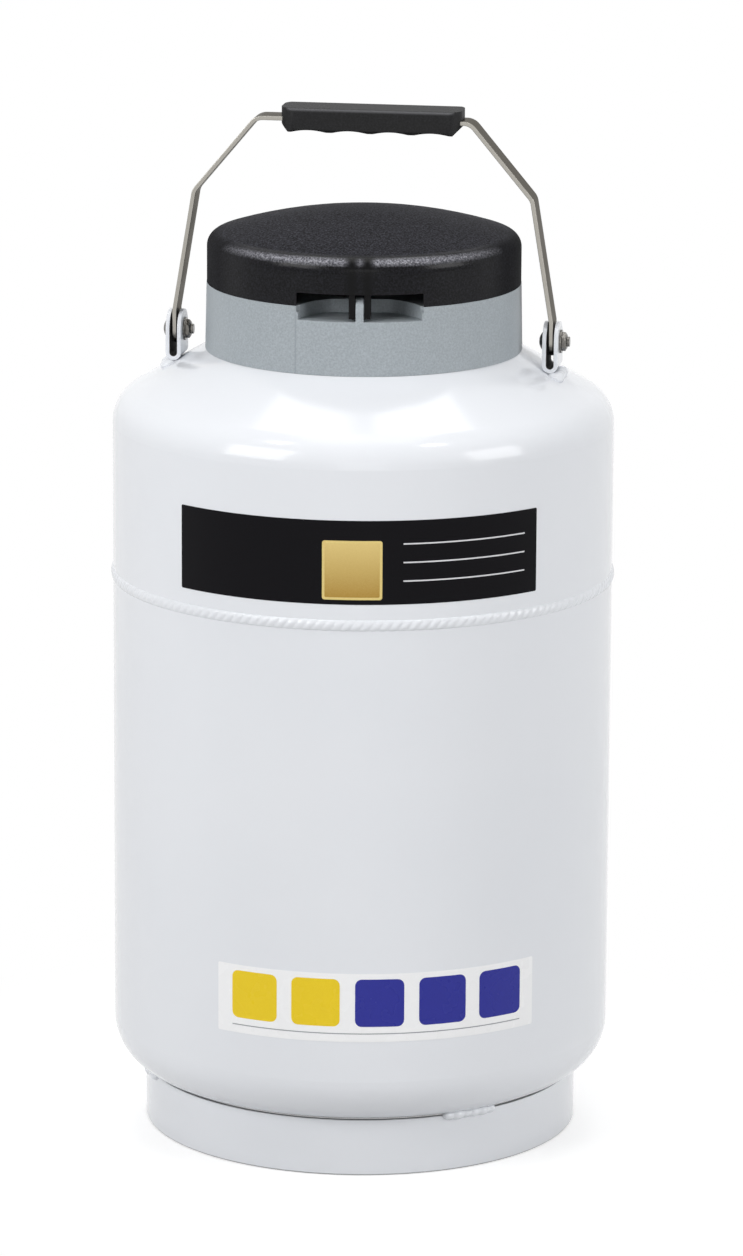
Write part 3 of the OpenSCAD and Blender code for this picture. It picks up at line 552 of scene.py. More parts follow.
# %% [markdown]
# The grip is plain black plastic too. The palm slides along its two long upper edges and leaves them
# smooth, and a painted highlight makes them pale. Those edges run along X, so a point is on one of them
# when it is both far out along Y and close to the top.

# %% Black plastic of the grip
RUB_AND_HIGHLIGHT_FROM_MM = 1.9
RUB_AND_HIGHLIGHT_TO_MM = 0.6
GRIP_DULL = 0.6
GRIP_RUBBED = 0.35
GRIP_BUMP = 0.5
GRIP_SHINE = 0.25
grip_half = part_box("handle_grip")[1].y
grip_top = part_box("handle_grip")[1].z


def grip_plastic():
    # Black moulded plastic with a fine grain, and a smooth line where the palm rubs, painted pale as a
    # highlight.
    material, tree, place = start_finish("black_grip_plastic")
    grain, speck = spark_grain(tree, place)
    spot = add(tree, "SeparateXYZ", {0: place}).outputs
    outward = add(tree, "Math", {0: spot["Y"]}, operation="ABSOLUTE")
    side = add(tree, "MapRange", {"Value": outward, "From Min": grip_half - RUB_AND_HIGHLIGHT_FROM_MM * MM,
                                  "From Max": grip_half - RUB_AND_HIGHLIGHT_TO_MM * MM})
    upper = add(tree, "MapRange", {"Value": spot["Z"], "From Min": grip_top - RUB_AND_HIGHLIGHT_FROM_MM * MM,
                                   "From Max": grip_top - RUB_AND_HIGHLIGHT_TO_MM * MM})
    rub_and_highlight = add(tree, "Math", {0: side, 1: upper}, operation="MULTIPLY")
    black = add(tree, "Mix", {"Factor": speck, "A": "#060607", "B": "#19191b"}, data_type="RGBA")
    # The pale grey on the two upper edges is a painted highlight. The lower roughness there is the palm's
    # polish.
    tone = add(tree, "Mix", {"Factor": rub_and_highlight, "A": black, "B": "#545457"}, data_type="RGBA")
    gloss = add(tree, "MapRange", {"Value": rub_and_highlight, "To Min": GRIP_DULL, "To Max": GRIP_RUBBED})
    pits = add(tree, "Bump", {"Height": grain, "Strength": GRIP_BUMP, "Distance": GRAIN_DEPTH_MM * MM})
    end_finish(tree, {"Base Color": tone, "Roughness": gloss, "Normal": pits,
                      "Specular IOR Level": GRIP_SHINE})
    return material


black_grip = grip_plastic()
print("made", black_grip.name, "for a grip", round(2 * grip_half / MM, 1), "mm wide")

# %% [markdown]
# ## Steel
# The bail is cut from flat stainless bar and brushed along its length. A brushed look could come from
# an anisotropic shader, but that needs a tangent on every face. The bar's width runs along Y
# everywhere, so lines that are fine across Y and long along X and Z follow it through every bend.

# %% Brushed steel of the bail
BRUSH_LINE_MM = 0.5
BRUSH_LENGTH_MM = 60
BRUSH_DEPTH_MM = 0.05
BRUSH_BUMP = 0.25
SMUDGE_MM = 18
BAR_GLOSS = 0.24
BAR_DULL = 0.42
HIGHLIGHT_EDGE_MM = 0.4
bar_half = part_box("handle_bar")[1].y


def brushed_bar():
    # Stainless steel brushed along the bar: dull grey faces with long streaks, and a painted highlight on
    # the sheared edges.
    material, tree, place = start_finish("brushed_stainless_bar")
    stretch = (per_metre(BRUSH_LENGTH_MM), per_metre(BRUSH_LINE_MM), per_metre(BRUSH_LENGTH_MM))
    along = add(tree, "Mapping", {"Vector": place, "Scale": stretch})
    streak = add(tree, "TexNoise", {"Vector": along, "Scale": 1.0, "Detail": 3.0})
    smudge = add(tree, "TexNoise", {"Vector": place, "Scale": per_metre(SMUDGE_MM)})
    face = add(tree, "Mix", {"Factor": streak, "A": "#4e4c48", "B": "#8a8781"}, data_type="RGBA")
    across = add(tree, "SeparateXYZ", {0: place}).outputs["Y"]
    outward = add(tree, "Math", {0: across}, operation="ABSOLUTE")
    painted_edge_highlight = add(tree, "MapRange", {"Value": outward, "From Min": bar_half - HIGHLIGHT_EDGE_MM * MM,
                                     "From Max": bar_half})
    # The pale grey along the bar's long edges is a painted highlight.
    tone = add(tree, "Mix", {"Factor": painted_edge_highlight, "A": face, "B": "#a29f98"}, data_type="RGBA")
    gloss = add(tree, "MapRange", {"Value": smudge, "To Min": BAR_GLOSS, "To Max": BAR_DULL})
    lines = add(tree, "Bump", {"Height": streak, "Strength": BRUSH_BUMP, "Distance": BRUSH_DEPTH_MM * MM})
    end_finish(tree, {"Base Color": tone, "Metallic": 1.0, "Roughness": gloss, "Normal": lines,
                      "Specular Tint": "#b4b2ae"})
    return material


bar_steel = brushed_bar()
print("made", bar_steel.name, "for a bar", round(2 * bar_half / MM, 1), "mm wide")

# %% [markdown]
# The bolts, washers, nuts and screws are machined from stainless steel. A cutter leaves marks a tenth of
# a millimetre apart, and they are drawn far coarser here, as faint bands, so that they show at all. What
# the eye notices on such small bright pieces is how patchy they get from handling. A Wave texture runs
# through 20 radians in a unit, and dividing by its lines in a unit sets the bands their distance apart.

# %% Turned steel of the fasteners
WAVE_LINES = 20 / (2 * math.pi)
TOOL_MARK_MM = 3.77
TOOL_MARK_DEPTH_MM = 0.05
TOOL_MARK_BUMP = 0.1
PATCH_MM = 4
PATCH_GLOSS = 0.12
PATCH_DULL = 0.3


def turned_steel():
    # Machined stainless steel: bright, with faint bands from the cutter and dull patches from handling.
    material, tree, place = start_finish("turned_stainless_fasteners")
    bands = add(tree, "TexWave", {"Vector": place, "Scale": per_metre(TOOL_MARK_MM) / WAVE_LINES,
                                  "Distortion": 1.5, "Detail": 2.0},
                wave_type="RINGS", rings_direction="X")
    patch = add(tree, "TexNoise", {"Vector": place, "Scale": per_metre(PATCH_MM), "Detail": 3.0})
    tone = add(tree, "Mix", {"Factor": patch, "A": "#2b2a29", "B": "#94918c"}, data_type="RGBA")
    gloss = add(tree, "MapRange", {"Value": patch, "To Min": PATCH_GLOSS, "To Max": PATCH_DULL})
    cut = add(tree, "Bump", {"Height": bands.outputs["Fac"], "Strength": TOOL_MARK_BUMP,
                             "Distance": TOOL_MARK_DEPTH_MM * MM})
    end_finish(tree, {"Base Color": tone, "Metallic": 1.0, "Roughness": gloss, "Normal": cut})
    return material


screw_steel = turned_steel()
print("made", screw_steel.name)

# %% [markdown]
# ## Finishes inside the vessel
# Nobody sees these until the lid comes off or the vessel is cut open, but each still gets what the
# real one has. The metal first: the inner vessel is spun on a lathe, which leaves fine level rings, and
# its wrap is crinkled foil. Noise that is stretched level gives the rings, and the cells of a Voronoi
# texture give the facets of the foil.

# %% Spun aluminium and foil
SPIN_LINE_MM = 1.2
SPIN_ROUND_MM = 50
SPIN_GLOSS = 0.3
SPIN_DULL = 0.45
CRINKLE_MM = 9
CRINKLE_DEPTH_MM = 2
CRINKLE_BUMP = 0.6
FOIL_ROUGHNESS = 0.25


def spun_aluminium():
    # Aluminium spun on a lathe: pale grey metal with faint level rings.
    material, tree, place = start_finish("spun_aluminium")
    stretch = (per_metre(SPIN_ROUND_MM), per_metre(SPIN_ROUND_MM), per_metre(SPIN_LINE_MM))
    level = add(tree, "Mapping", {"Vector": place, "Scale": stretch})
    rings = add(tree, "TexNoise", {"Vector": level, "Scale": 1.0, "Detail": 2.0})
    tone = add(tree, "Mix", {"Factor": rings, "A": "#a7a9ab", "B": "#d0d2d3"}, data_type="RGBA")
    gloss = add(tree, "MapRange", {"Value": rings, "To Min": SPIN_GLOSS, "To Max": SPIN_DULL})
    end_finish(tree, {"Base Color": tone, "Metallic": 1.0, "Roughness": gloss})
    return material


def crinkled_foil():
    # Layers of aluminised film and paper: bright facets that point every way.
    material, tree, place = start_finish("crinkled_foil")
    facets = add(tree, "TexVoronoi", {"Vector": place, "Scale": per_metre(CRINKLE_MM)})
    tone = add(tree, "Mix", {"Factor": facets, "A": "#dcdcd8", "B": "#a9a9a6"}, data_type="RGBA")
    folds = add(tree, "Bump", {"Height": facets, "Strength": CRINKLE_BUMP,
                               "Distance": CRINKLE_DEPTH_MM * MM})
    end_finish(tree, {"Base Color": tone, "Metallic": 1.0, "Roughness": FOIL_ROUGHNESS, "Normal": folds})
    return material


aluminium = spun_aluminium()
foil = crinkled_foil()
print("made", aluminium.name, foil.name)

# %% [markdown]
# The neck tube is wound from glass fibre in clear resin, the plug is sawn from rigid foam with open
# cells, and the small seal is moulded rubber. The fibre's bands are about as wide as the roving that is
# wound, and the foam's cells are drawn a little large.

# %% Glass fibre, foam and rubber
ROVING_MM = 15.7
WEAVE_BUMP = 0.2
RESIN_ROUGHNESS = 0.3
FOAM_CELL_MM = 0.9
FOAM_DEPTH_MM = 0.3
FOAM_BUMP = 0.7
FOAM_ROUGHNESS = 0.9
RUBBER_GRAIN_MM = 1.4
RUBBER_BUMP = 0.2
RUBBER_ROUGHNESS = 0.7
SKIN_DEPTH_MM = 0.1


def wound_glass_fibre():
    # Glass fibre in clear resin, wound at a slant: straw yellow with slanting threads under a gloss.
    material, tree, place = start_finish("wound_glass_fibre")
    wave = add(tree, "TexWave", {"Vector": place, "Scale": per_metre(ROVING_MM) / WAVE_LINES,
                                 "Distortion": 3.0, "Detail": 2.0},
               wave_type="BANDS", bands_direction="DIAGONAL")
    slant = wave.outputs["Fac"]
    tone = add(tree, "Mix", {"Factor": slant, "A": "#a98f52", "B": "#d3bd85"}, data_type="RGBA")
    weave = add(tree, "Bump", {"Height": slant, "Strength": WEAVE_BUMP, "Distance": SKIN_DEPTH_MM * MM})
    end_finish(tree, {"Base Color": tone, "Roughness": RESIN_ROUGHNESS, "Normal": weave})
    return material


def rigid_foam():
    # Sawn polyurethane foam: dull cream with tiny open cells.
    material, tree, place = start_finish("rigid_foam")
    cells = add(tree, "TexVoronoi", {"Vector": place, "Scale": per_metre(FOAM_CELL_MM)})
    tone = add(tree, "Mix", {"Factor": cells, "A": "#d9cd9f", "B": "#f0e8c8"}, data_type="RGBA")
    pores = add(tree, "Bump", {"Height": cells, "Strength": FOAM_BUMP, "Distance": FOAM_DEPTH_MM * MM})
    end_finish(tree, {"Base Color": tone, "Roughness": FOAM_ROUGHNESS, "Normal": pores})
    return material


def moulded_rubber():
    # Moulded black rubber: dull charcoal, a little paler where it is rubbed.
    material, tree, place = start_finish("moulded_rubber")
    bloom = add(tree, "TexNoise", {"Vector": place, "Scale": per_metre(RUBBER_GRAIN_MM), "Detail": 3.0})
    tone = add(tree, "Mix", {"Factor": bloom, "A": "#161616", "B": "#2c2c2b"}, data_type="RGBA")
    skin = add(tree, "Bump", {"Height": bloom, "Strength": RUBBER_BUMP, "Distance": SKIN_DEPTH_MM * MM})
    end_finish(tree, {"Base Color": tone, "Roughness": RUBBER_ROUGHNESS, "Normal": skin})
    return material


glass_fibre = wound_glass_fibre()
foam = rigid_foam()
rubber = moulded_rubber()
print("made", glass_fibre.name, foam.name, rubber.name)

# %% [markdown]
# ## Every CAD node gets its finish
# A finish is made once and shared by all the nodes of that material. The nodes' meshes stay as they
# are: only their material slots are filled again.

# %% Give the CAD nodes their finishes
FINISH_OF_NODES = (
    (coat, "outer_shell_upper girth_weld base_ring base_ring_welds bracket_welds"),
    (bracket_coat, "handle_bracket_left handle_bracket_right"),
    (shell_coat, "outer_shell_lower"),
    (grey_ring, "neck_ring"),
    (black_lid, "lid_cover plug_disc vacuum_port_cap"),
    (black_grip, "handle_grip"),
    (bar_steel, "handle_bar"),
    (screw_steel, "neck_ring_screws plug_screws pivot_bolts pivot_washers pivot_nuts"),
    (aluminium, "vacuum_port vacuum_plug inner_vessel_upper inner_vessel_lower inner_vessel_weld "
                "adsorbent_cup neck_flange"),
    (glass_fibre, "neck_tube"),
    (foil, "insulation_wrap"),
    (foam, "neck_plug"),
    (rubber, "vacuum_plug_seal"),
)
for finish, names in FINISH_OF_NODES:
    for name in names.split():
        nodes[name].data.materials.clear()
        nodes[name].data.materials.append(finish)
    print(finish.name, "on", len(names.split()), "nodes")

# %% [markdown]
# ## Eased edges
# A drawing has knife edges, and a real sheared, moulded or coated part never does: its edges are
# rounded by a few tenths of a millimetre, and that thin round is what draws a bright line along
# them. Modelling the pieces again would risk their fit, so each is a copy of its node. The copy is
# merged into one skin, its flat triangles are dissolved into whole faces, and a Bevel modifier rounds
# only the edges that turn sharply. Weighted normals then keep the flat faces flat in the shading.

# %% Helpers for new pieces
def only(piece):
    """Selects one object and makes it active."""
    bpy.ops.object.select_all(action="DESELECT")
    piece.select_set(True)
    bpy.context.view_layer.objects.active = piece


def edit(piece):
    """Opens one object in edit mode with everything selected."""
    only(piece)
    bpy.ops.object.mode_set(mode="EDIT")
    bpy.ops.mesh.select_all(action="SELECT")


def apply_modifier(piece, kind, **settings):
    """Adds a modifier with these settings and applies it."""
    only(piece)
    modifier = piece.modifiers.new(kind.lower(), kind)
    for name, value in settings.items():
        setattr(modifier, name, value)
    bpy.ops.object.modifier_apply(modifier=modifier.name)


def stand_for(piece, node, body):
    """Lets a new piece ride a body and stand for a CAD node."""
    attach(piece, body)
    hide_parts(node)
    print(piece.name, "stands for", node, "with", len(piece.data.polygons), "faces")


# %% Copy the sharp nodes with eased edges
EASE_TURN = math.radians(35)
EASE_SEGMENTS = 2
SMOOTH_TURN = math.radians(50)
FLAT_TURN = math.radians(0.4)
MERGE = 0.002 * MM
# Each row has a node, the width of its eased edge in millimetres, its body and its slot.
EASED_NODES = (
    ("handle_bar", 0.3, "bail", "stainless_bar"),
    ("handle_grip", 0.8, "bail", "grip_plastic"),
    ("handle_bracket_left", 0.4, "vessel", "white_coat"),
    ("handle_bracket_right", 0.4, "vessel", "white_coat"),
    ("pivot_bolts", 0.3, "vessel", "stainless_fasteners"),
    ("pivot_washers", 0.2, "vessel", "stainless_fasteners"),
    ("pivot_nuts", 0.25, "vessel", "stainless_fasteners"),
    ("base_ring", 0.5, "vessel", "white_coat"),
    ("neck_ring", 0.4, "vessel", "grey_plastic"),
    ("lid_cover", 0.4, "lid", "black_plastic"),
)


def eased_copy(node, ease_mm):
    """A copy of a CAD node, in the same finish, with its sharp edges rounded."""
    only(nodes[node])
    bpy.ops.object.duplicate()
    piece = bpy.context.active_object
    piece.name = node + "_eased"
    piece.parent = None
    for tag in [key for key in piece.keys() if key.startswith("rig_")]:
        del piece[tag]
    edit(piece)
    bpy.ops.mesh.remove_doubles(threshold=MERGE)
    bpy.ops.mesh.customdata_custom_splitnormals_clear()
    bpy.ops.mesh.dissolve_limited(angle_limit=FLAT_TURN)
    bpy.ops.object.mode_set(mode="OBJECT")
    apply_modifier(piece, "BEVEL", width=ease_mm * MM, segments=EASE_SEGMENTS, limit_method="ANGLE",
                   angle_limit=EASE_TURN)
    bpy.ops.object.shade_smooth_by_angle(angle=SMOOTH_TURN)
    apply_modifier(piece, "WEIGHTED_NORMAL", keep_sharp=True)
    return piece


for eased_node, ease, eased_body, eased_slot in EASED_NODES:
    stand_for(eased_copy(eased_node, ease), eased_node, eased_body)

# %% [markdown]
# ## The girth weld
# The two halves of the shell are joined by one bead, laid drop by drop, so it looks like a rope under
# the coat. A bump map would leave its outline smooth, so it is modelled, but only one drop of it: a
# lens-shaped section is spun through the angle of one drop, and its rings are scaled to make the drop
# swell and fade.

# %% Model one drop of the bead
BEAD_PITCH_MM = 5.6
BEAD_SECTION_POINTS = 14
BEAD_SWELL = (0.62, 0.80, 0.94, 1.0, 0.95, 0.80, 0.62)
BEAD_SINK_MM = 0.4
bead_count = round(2 * math.pi * body_r / (BEAD_PITCH_MM * MM))
bead_turn = 2 * math.pi / bead_count
bead_half = (girth_high.z - girth_low.z) / 2
bead_reach = girth_high.x - body_r + BEAD_SINK_MM * MM
bead_middle = body_r - BEAD_SINK_MM * MM
ring_reach = bead_turn / len(BEAD_SWELL) / 2


def select_where(piece, test):
    """In edit mode, selects the vertices whose place passes the test."""
    bpy.ops.mesh.select_all(action="DESELECT")
    mesh = bmesh.from_edit_mesh(piece.data)
    for vertex in mesh.verts:
        vertex.select_set(test(vertex.co))
    mesh.select_flush(True)
    bmesh.update_edit_mesh(piece.data)


bpy.ops.object.select_all(action="DESELECT")
bpy.ops.mesh.primitive_circle_add(vertices=BEAD_SECTION_POINTS, radius=1, rotation=(math.pi / 2, 0, 0),
                                  location=(bead_middle, 0, girth_z))
bead = bpy.context.active_object
bead.name = "girth_weld_bead"
bead.scale = (bead_reach, bead_half, 1)
bpy.ops.object.transform_apply(location=True, rotation=True, scale=True)
edit(bead)
bpy.ops.mesh.spin(steps=len(BEAD_SWELL) - 1, angle=bead_turn, center=(0, 0, 0), axis=(0, 0, 1))
spin_way = math.copysign(1, sum(vertex.co.y for vertex in bmesh.from_edit_mesh(bead.data).verts))
for ring, swell in enumerate(BEAD_SWELL):
    ring_turn = spin_way * bead_turn * ring / (len(BEAD_SWELL) - 1)
    ring_middle = Matrix.Rotation(ring_turn, 3, "Z") @ Vector((bead_middle, 0, girth_z))
    select_where(bead, lambda co: abs(math.atan2(co.y, co.x) - ring_turn) < ring_reach)
    bpy.ops.transform.resize(value=(swell, swell, 1), center_override=ring_middle)
bpy.ops.object.mode_set(mode="OBJECT")
print("one drop has", len(bead.data.vertices), "points")

# %% [markdown]
# An Array modifier that is turned by an empty repeats the drop round the vessel. A slight twist about
# the axis then slants all the drops, because the torch was moved along while each one froze. The spin
# can leave faces turned inwards, so the normals are recalculated once the drops are merged.

# %% Array the drop round the body
ARRAY_MERGE = 0.02 * MM
BEAD_SLANT = 0.9

turner = bpy.data.objects.new("drop_turner", None)
scene.collection.objects.link(turner)
turner.rotation_euler.z = spin_way * bead_turn
bpy.context.view_layer.update()
apply_modifier(bead, "ARRAY", count=bead_count, use_relative_offset=False, use_object_offset=True,
               offset_object=turner, use_merge_vertices=True, use_merge_vertices_cap=True,
               merge_threshold=ARRAY_MERGE)
bpy.data.objects.remove(turner)
apply_modifier(bead, "SIMPLE_DEFORM", deform_method="TWIST", deform_axis="Z",
               angle=BEAD_SLANT * bead_turn)
edit(bead)
bpy.ops.mesh.remove_doubles(threshold=ARRAY_MERGE)
bpy.ops.mesh.normals_make_consistent(inside=False)
bpy.ops.object.mode_set(mode="OBJECT")
bpy.ops.object.shade_smooth()
bead.data.materials.append(coat)
stand_for(bead, "girth_weld", "vessel")
print("drops round the body:", bead_count)

# %% [markdown]
# ## Stitch welds
# The base ring and the brackets are held by short beads. Each is a row of drops that ran into each
# other. Round drops are set side by side, joined, and remeshed into one skin, which closes the
# notches between them the way melted metal does. A sine makes the drops of a row a little uneven, and
# gives the same row on every run.

# %% Helpers for drops of weld metal
DROP_SEGMENTS = 20
DROP_RINGS = 12
REMESH_MM = 0.5
MELT_SHARE = 0.5
MELT_ROUNDS = 8


def drop(centre, turn, radii_mm, size):
    """One round drop of weld metal, flattened to its radii and turned about Z."""
    bpy.ops.mesh.primitive_uv_sphere_add(segments=DROP_SEGMENTS, ring_count=DROP_RINGS, radius=MM,
                                         location=centre, rotation=(0, 0, turn))
    bpy.context.active_object.scale = Vector(radii_mm) * size
    return bpy.context.active_object


def join(pieces, name):
    """Joins separate objects into one, under a new name."""
    only(pieces[0])
    for piece in pieces:
        piece.select_set(True)
    if len(pieces) > 1:
        bpy.ops.object.join()
    pieces[0].name = name
    return pieces[0]


def melt(name, drops, node):
    """Joins the drops into one lumpy skin that stands for a CAD bead."""
    piece = join(drops, name)
    bpy.ops.object.transform_apply(location=True, rotation=True, scale=True)
    apply_modifier(piece, "REMESH", mode="VOXEL", voxel_size=REMESH_MM * MM)
    apply_modifier(piece, "SMOOTH", factor=MELT_SHARE, iterations=MELT_ROUNDS)
    bpy.ops.object.shade_smooth()
    piece.data.materials.append(coat)
    stand_for(piece, node, "vessel")


# %% Stitches between the base ring and the vessel
STITCH_TURNS = (-51, 75, 202)
STITCH_ARC = 12.5
STITCH_DROPS = 6
STITCH_DROP_MM = (3.6, 4.2, 3.0)
STITCH_UNEVEN = 0.1
STITCH_STEP = 2.4

bpy.ops.object.select_all(action="DESELECT")
base_drops = []
for stitch in STITCH_TURNS:
    for i in range(STITCH_DROPS):
        drop_turn = math.radians(stitch + STITCH_ARC * (i / (STITCH_DROPS - 1) - 0.5))
        drop_size = 1 + STITCH_UNEVEN * math.sin(STITCH_STEP * i + stitch)
        drop_place = Matrix.Rotation(drop_turn, 3, "Z") @ Vector((base_r, 0, base_top))
        base_drops.append(drop(drop_place, drop_turn, STITCH_DROP_MM, drop_size))
melt("base_stitch_welds", base_drops, "base_ring_welds")

# %% [markdown]
# A bracket has a straight bead along its outer foot. At each end of it the metal ran round the corner
# and up the shoulder, so two more drops follow the shoulder's slope there.

# %% Stitches at the feet of the brackets
BRACKET_DROPS = 5
BRACKET_DROP_MM = (3.6, 3.4, 3.2)
BRACKET_SPAN = 0.82
BRACKET_UNEVEN = 0.12
BRACKET_STEP = 1.9
BRACKET_WELD_IN_MM = 3.0
BRACKET_WELD_UP_MM = 2.4
RUN_DROPS = 2
RUN_PITCH_MM = 2.6
RUN_DROP_MM = (3.6, 3.8, 2.4)
SHOULDER_SLOPE = math.radians(29.5)

weld_low, weld_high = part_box("bracket_welds")
weld_x = weld_high.x - BRACKET_WELD_IN_MM * MM
weld_z = weld_low.z + BRACKET_WELD_UP_MM * MM
bracket_drops = []
for side in (-1, 1):
    for i in range(BRACKET_DROPS):
        along = weld_high.y * BRACKET_SPAN * (2 * i / (BRACKET_DROPS - 1) - 1)
        drop_size = 1 + BRACKET_UNEVEN * math.sin(BRACKET_STEP * i + side)
        bracket_drops.append(drop((side * weld_x, along, weld_z), 0, BRACKET_DROP_MM, drop_size))
    for end in (-1, 1):
        for i in range(RUN_DROPS):
            inward = i * RUN_PITCH_MM * MM
            run_z = weld_low.z + (BRACKET_WELD_IN_MM * MM + inward) * math.tan(SHOULDER_SLOPE)
            run_place = (side * (weld_x - inward), end * weld_high.y, run_z)
            bracket_drops.append(drop(run_place, 0, RUN_DROP_MM, 1))
melt("bracket_stitch_welds", bracket_drops, "bracket_welds")

# %% [markdown]
# ## Vinyl labels
# Two printed films are stuck on the front: a black band above the weld and a white one near the foot.
# Both are kept plain: the black one has a gilt chip and blank lines to write on, and the white one has
# colour chips. Each ink is a finish of its own under the same gloss film.

# %% Finishes of the printed films
FILM_WAVE_MM = 14
FILM_WAVE_DEPTH_MM = 0.2
FILM_WAVE_BUMP = 0.15
FILM_GLOSS_SPREAD = 0.1
INK_GRAIN_MM = 0.7
INK_SHINE = 0.3
GILT_GRAIN_SHARE = 0.2
GILT_GLOSS = 0.18
GILT_DULL = 0.3


def printed_film(name, dark, light, gloss, shine=INK_SHINE):
    # Printed and laminated vinyl: an even colour under a gloss film that is never quite flat.
    material, tree, place = start_finish(name)
    grain = add(tree, "TexNoise", {"Vector": place, "Scale": per_metre(INK_GRAIN_MM), "Detail": 2.0})
    wave = add(tree, "TexNoise", {"Vector": place, "Scale": per_metre(FILM_WAVE_MM)})
    tone = add(tree, "Mix", {"Factor": grain, "A": dark, "B": light}, data_type="RGBA")
    sheen = add(tree, "MapRange", {"Value": wave, "To Min": gloss, "To Max": gloss + FILM_GLOSS_SPREAD})
    swell = add(tree, "Bump", {"Height": wave, "Strength": FILM_WAVE_BUMP,
                               "Distance": FILM_WAVE_DEPTH_MM * MM})
    end_finish(tree, {"Base Color": tone, "Roughness": sheen, "Normal": swell,
                      "Specular IOR Level": shine})
    return material


def gilt_ink(low_mm, high_mm):
    # Gilt ink: pale gold at the top and deeper towards the foot, a painted sheen of the gilt.
    material, tree, place = start_finish("gilt_ink")
    grain = add(tree, "TexNoise", {"Vector": place, "Scale": per_metre(INK_GRAIN_MM)})
    height = add(tree, "SeparateXYZ", {0: place}).outputs["Z"]
    # Paler towards the top: a painted sheen.
    rise = add(tree, "MapRange", {"Value": height, "From Min": low_mm * MM, "From Max": high_mm * MM})
    blend = add(tree, "Mix", {"Factor": GILT_GRAIN_SHARE, "A": rise, "B": grain})
    tone = add(tree, "Mix", {"Factor": blend, "A": "#a9822c", "B": "#e6cd84"}, data_type="RGBA")
    gloss = add(tree, "MapRange", {"Value": grain, "To Min": GILT_GLOSS, "To Max": GILT_DULL})
    end_finish(tree, {"Base Color": tone, "Roughness": gloss, "Specular IOR Level": INK_SHINE})
    return material


black_film = printed_film("black_vinyl_film", "#0b0a0d", "#131216", gloss=0.14, shine=0.08)
white_film = printed_film("white_vinyl_film", "#f7f8f9", "#fcfcfd", gloss=0.22, shine=0.35)
pale_gilt = printed_film("pale_gilt_ink", "#dcc170", "#ecd892", gloss=0.2)
pale_ink = printed_film("pale_ink", "#dcdce0", "#e9e9ec", gloss=0.2)
grey_ink = printed_film("grey_ink", "#8d9094", "#9a9da1", gloss=0.25)
yellow_ink = printed_film("yellow_ink", "#ecc914", "#f4d62a", gloss=0.22)
blue_ink = printed_film("blue_ink", "#23278c", "#2c319b", gloss=0.22)
print("materials now:", len(bpy.data.materials))

# %% [markdown]
# Real labels are cut flat and then wrapped, and so are these. A plane is cut to size, its corners are
# rounded, it is bisected into upright strips so that it can bend, and it gets the film's thickness.
# A Simple Deform modifier rolls it to the body's radius. A piece cut from a cylinder would fit as well,
# but its corners and chips are easier to lay out flat, in millimetres from the label's middle.

# %% Cut, wrap and stick the films
FILM_MM = 0.12
INK_MM = 0.04
STRIP_MM = 5
CORNER_POINTS = 5


def flat_patch(x, z, width, height, corner, lift):
    """A flat patch of film or ink that stands on XZ, in millimetres from the label's middle."""
    bpy.ops.object.select_all(action="DESELECT")
    bpy.ops.mesh.primitive_plane_add(size=MM, location=Vector((x, -lift, z)) * MM,
                                     rotation=(math.pi / 2, 0, 0))
    patch = bpy.context.active_object
    patch.scale = (width, height, 1)
    bpy.ops.object.transform_apply(location=True, rotation=True, scale=True)
    edit(patch)
    if corner:
        bpy.ops.mesh.bevel(offset=corner * MM, segments=CORNER_POINTS, affect="VERTICES")
    strips = max(1, round(width / STRIP_MM))
    for i in range(1, strips):
        bpy.ops.mesh.select_all(action="SELECT")
        cut = x - width / 2 + width * i / strips
        bpy.ops.mesh.bisect(plane_co=(cut * MM, 0, 0), plane_no=(1, 0, 0))
    bpy.ops.object.mode_set(mode="OBJECT")
    return patch


def stick(name, patches, thick, turn, finish):
    """Joins flat patches, thickens them, rolls them to the body's radius and turns them into place."""
    label = join(patches, name)
    apply_modifier(label, "SOLIDIFY", thickness=thick * MM, offset=1)
    across = [vertex.co.x for vertex in label.data.vertices]
    apply_modifier(label, "SIMPLE_DEFORM", deform_method="BEND", deform_axis="Z",
                   angle=(max(across) - min(across)) / body_r)
    label.location.y = -body_r
    bpy.ops.object.transform_apply(location=True, rotation=True, scale=True)
    label.rotation_euler.z = math.radians(turn)
    bpy.ops.object.transform_apply(location=True, rotation=True, scale=True)
    bpy.ops.object.shade_smooth_by_angle(angle=SMOOTH_TURN)
    label.data.materials.append(finish)
    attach(label, "vessel")
    reach = [math.hypot(vertex.co.x, vertex.co.y) / MM for vertex in label.data.vertices]
    print(name, "radius in mm:", round(min(reach), 3), "to", round(max(reach), 3))


# %% [markdown]
# The black band carries a square chip with a pale rim round a deeper gilt field, and three lines to
# write on. Sizes are in millimetres, and turns and arcs in degrees about the vessel's axis.

# %% The black band
BAND_TURN = 7.9
BAND_ARC = 87.2
BAND_LOW, BAND_HIGH = 352.5, 402.2
BAND_CORNER = 1.0
GILT_MM = 35
GILT_CORNER = 1.5
GILT_FIELD_MM = 32
GILT_FIELD_CORNER = 0.8
GILT_X = -3
GILT_UP = -4.5
WRITE_INSET = 9.4
WRITE_LINES = 3
WRITE_LINE_MM = 0.8
WRITE_LENGTH = 78
WRITE_GAP = 11

body_r_mm = body_r / MM
band_w = math.radians(BAND_ARC) * body_r_mm
band_z = (BAND_LOW + BAND_HIGH) / 2
band = flat_patch(0, band_z, band_w, BAND_HIGH - BAND_LOW, BAND_CORNER, 0)
stick("label_band", [band], FILM_MM, BAND_TURN, black_film)

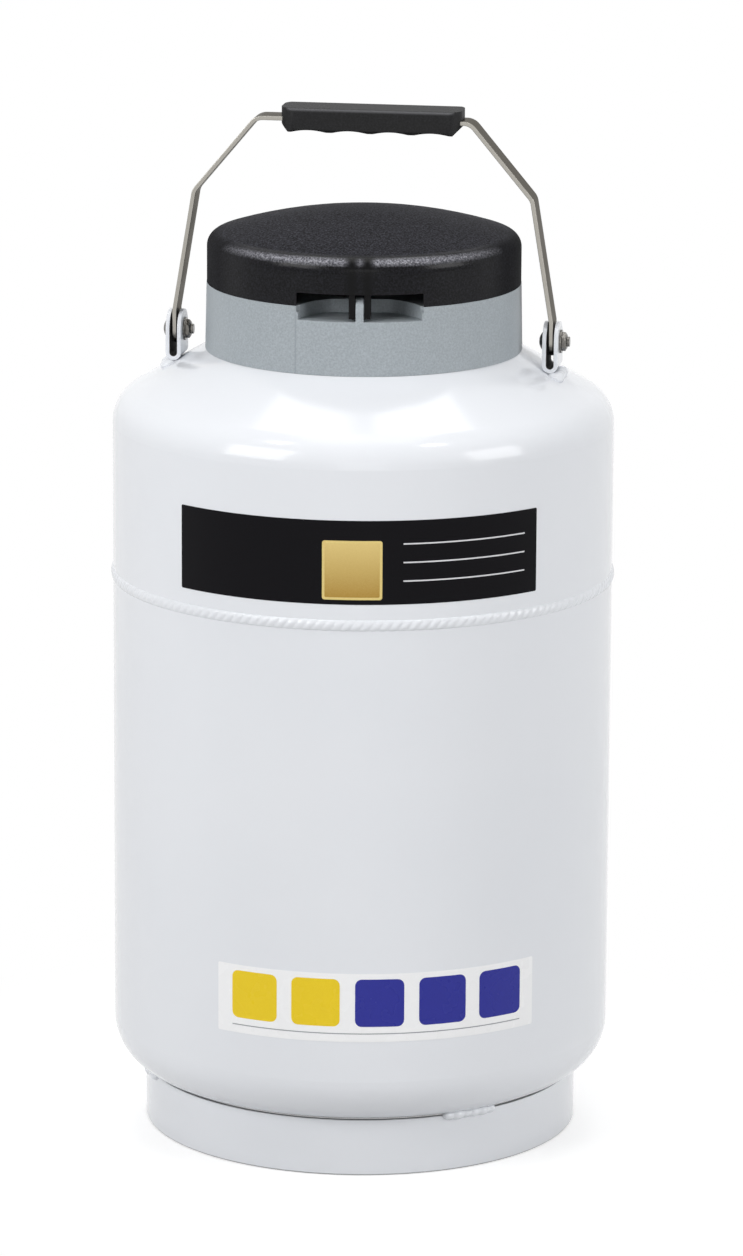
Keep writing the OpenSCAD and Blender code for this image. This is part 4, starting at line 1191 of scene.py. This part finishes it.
gilt_z = band_z + GILT_UP
gilt_deep = gilt_ink(gilt_z - GILT_FIELD_MM / 2, gilt_z + GILT_FIELD_MM / 2)
rim = flat_patch(GILT_X, gilt_z, GILT_MM, GILT_MM, GILT_CORNER, FILM_MM)
stick("label_band_chip", [rim], INK_MM, BAND_TURN, pale_gilt)
field = flat_patch(GILT_X, gilt_z, GILT_FIELD_MM, GILT_FIELD_MM, GILT_FIELD_CORNER, FILM_MM + INK_MM)
stick("label_band_chip_field", [field], INK_MM, BAND_TURN, gilt_deep)

write_x = band_w / 2 - WRITE_INSET - WRITE_LENGTH / 2
write_rows = [band_z + (i - (WRITE_LINES - 1) / 2) * WRITE_GAP for i in range(WRITE_LINES)]
write_lines = [flat_patch(write_x, z, WRITE_LENGTH, WRITE_LINE_MM, 0, FILM_MM) for z in write_rows]
stick("label_band_lines", write_lines, INK_MM, BAND_TURN, pale_ink)

# %% [markdown]
# The white label has a row of five chips, two yellow and three blue, above a thin rule. The chips of one
# colour are one piece, as one pass of the press prints them.

# %% The white label
FOOT_TURN = 13.4
FOOT_ARC = 76.7
FOOT_LOW, FOOT_HIGH = 88.6, 130.2
FOOT_CORNER = 1.0
CHIP_MM = 29
CHIP_CORNER = 4
CHIP_PITCH = 38
CHIP_UP = 3
CHIP_ROWS = (("label_foot_yellow", yellow_ink, (-2, -1)), ("label_foot_blue", blue_ink, (0, 1, 2)))
RULE_UP = 5
RULE_INSET = 10
RULE_MM = 0.6

foot_w = math.radians(FOOT_ARC) * body_r_mm
foot_z = (FOOT_LOW + FOOT_HIGH) / 2
foot = flat_patch(0, foot_z, foot_w, FOOT_HIGH - FOOT_LOW, FOOT_CORNER, 0)
stick("label_foot", [foot], FILM_MM, FOOT_TURN, white_film)
for chip_name, chip_ink, places in CHIP_ROWS:
    chips = [flat_patch(place * CHIP_PITCH, foot_z + CHIP_UP, CHIP_MM, CHIP_MM, CHIP_CORNER, FILM_MM)
             for place in places]
    stick(chip_name, chips, INK_MM, FOOT_TURN, chip_ink)
rule = flat_patch(0, FOOT_LOW + RULE_UP, foot_w - 2 * RULE_INSET, RULE_MM, 0, FILM_MM)
stick("label_foot_rule", [rule], INK_MM, FOOT_TURN, grey_ink)
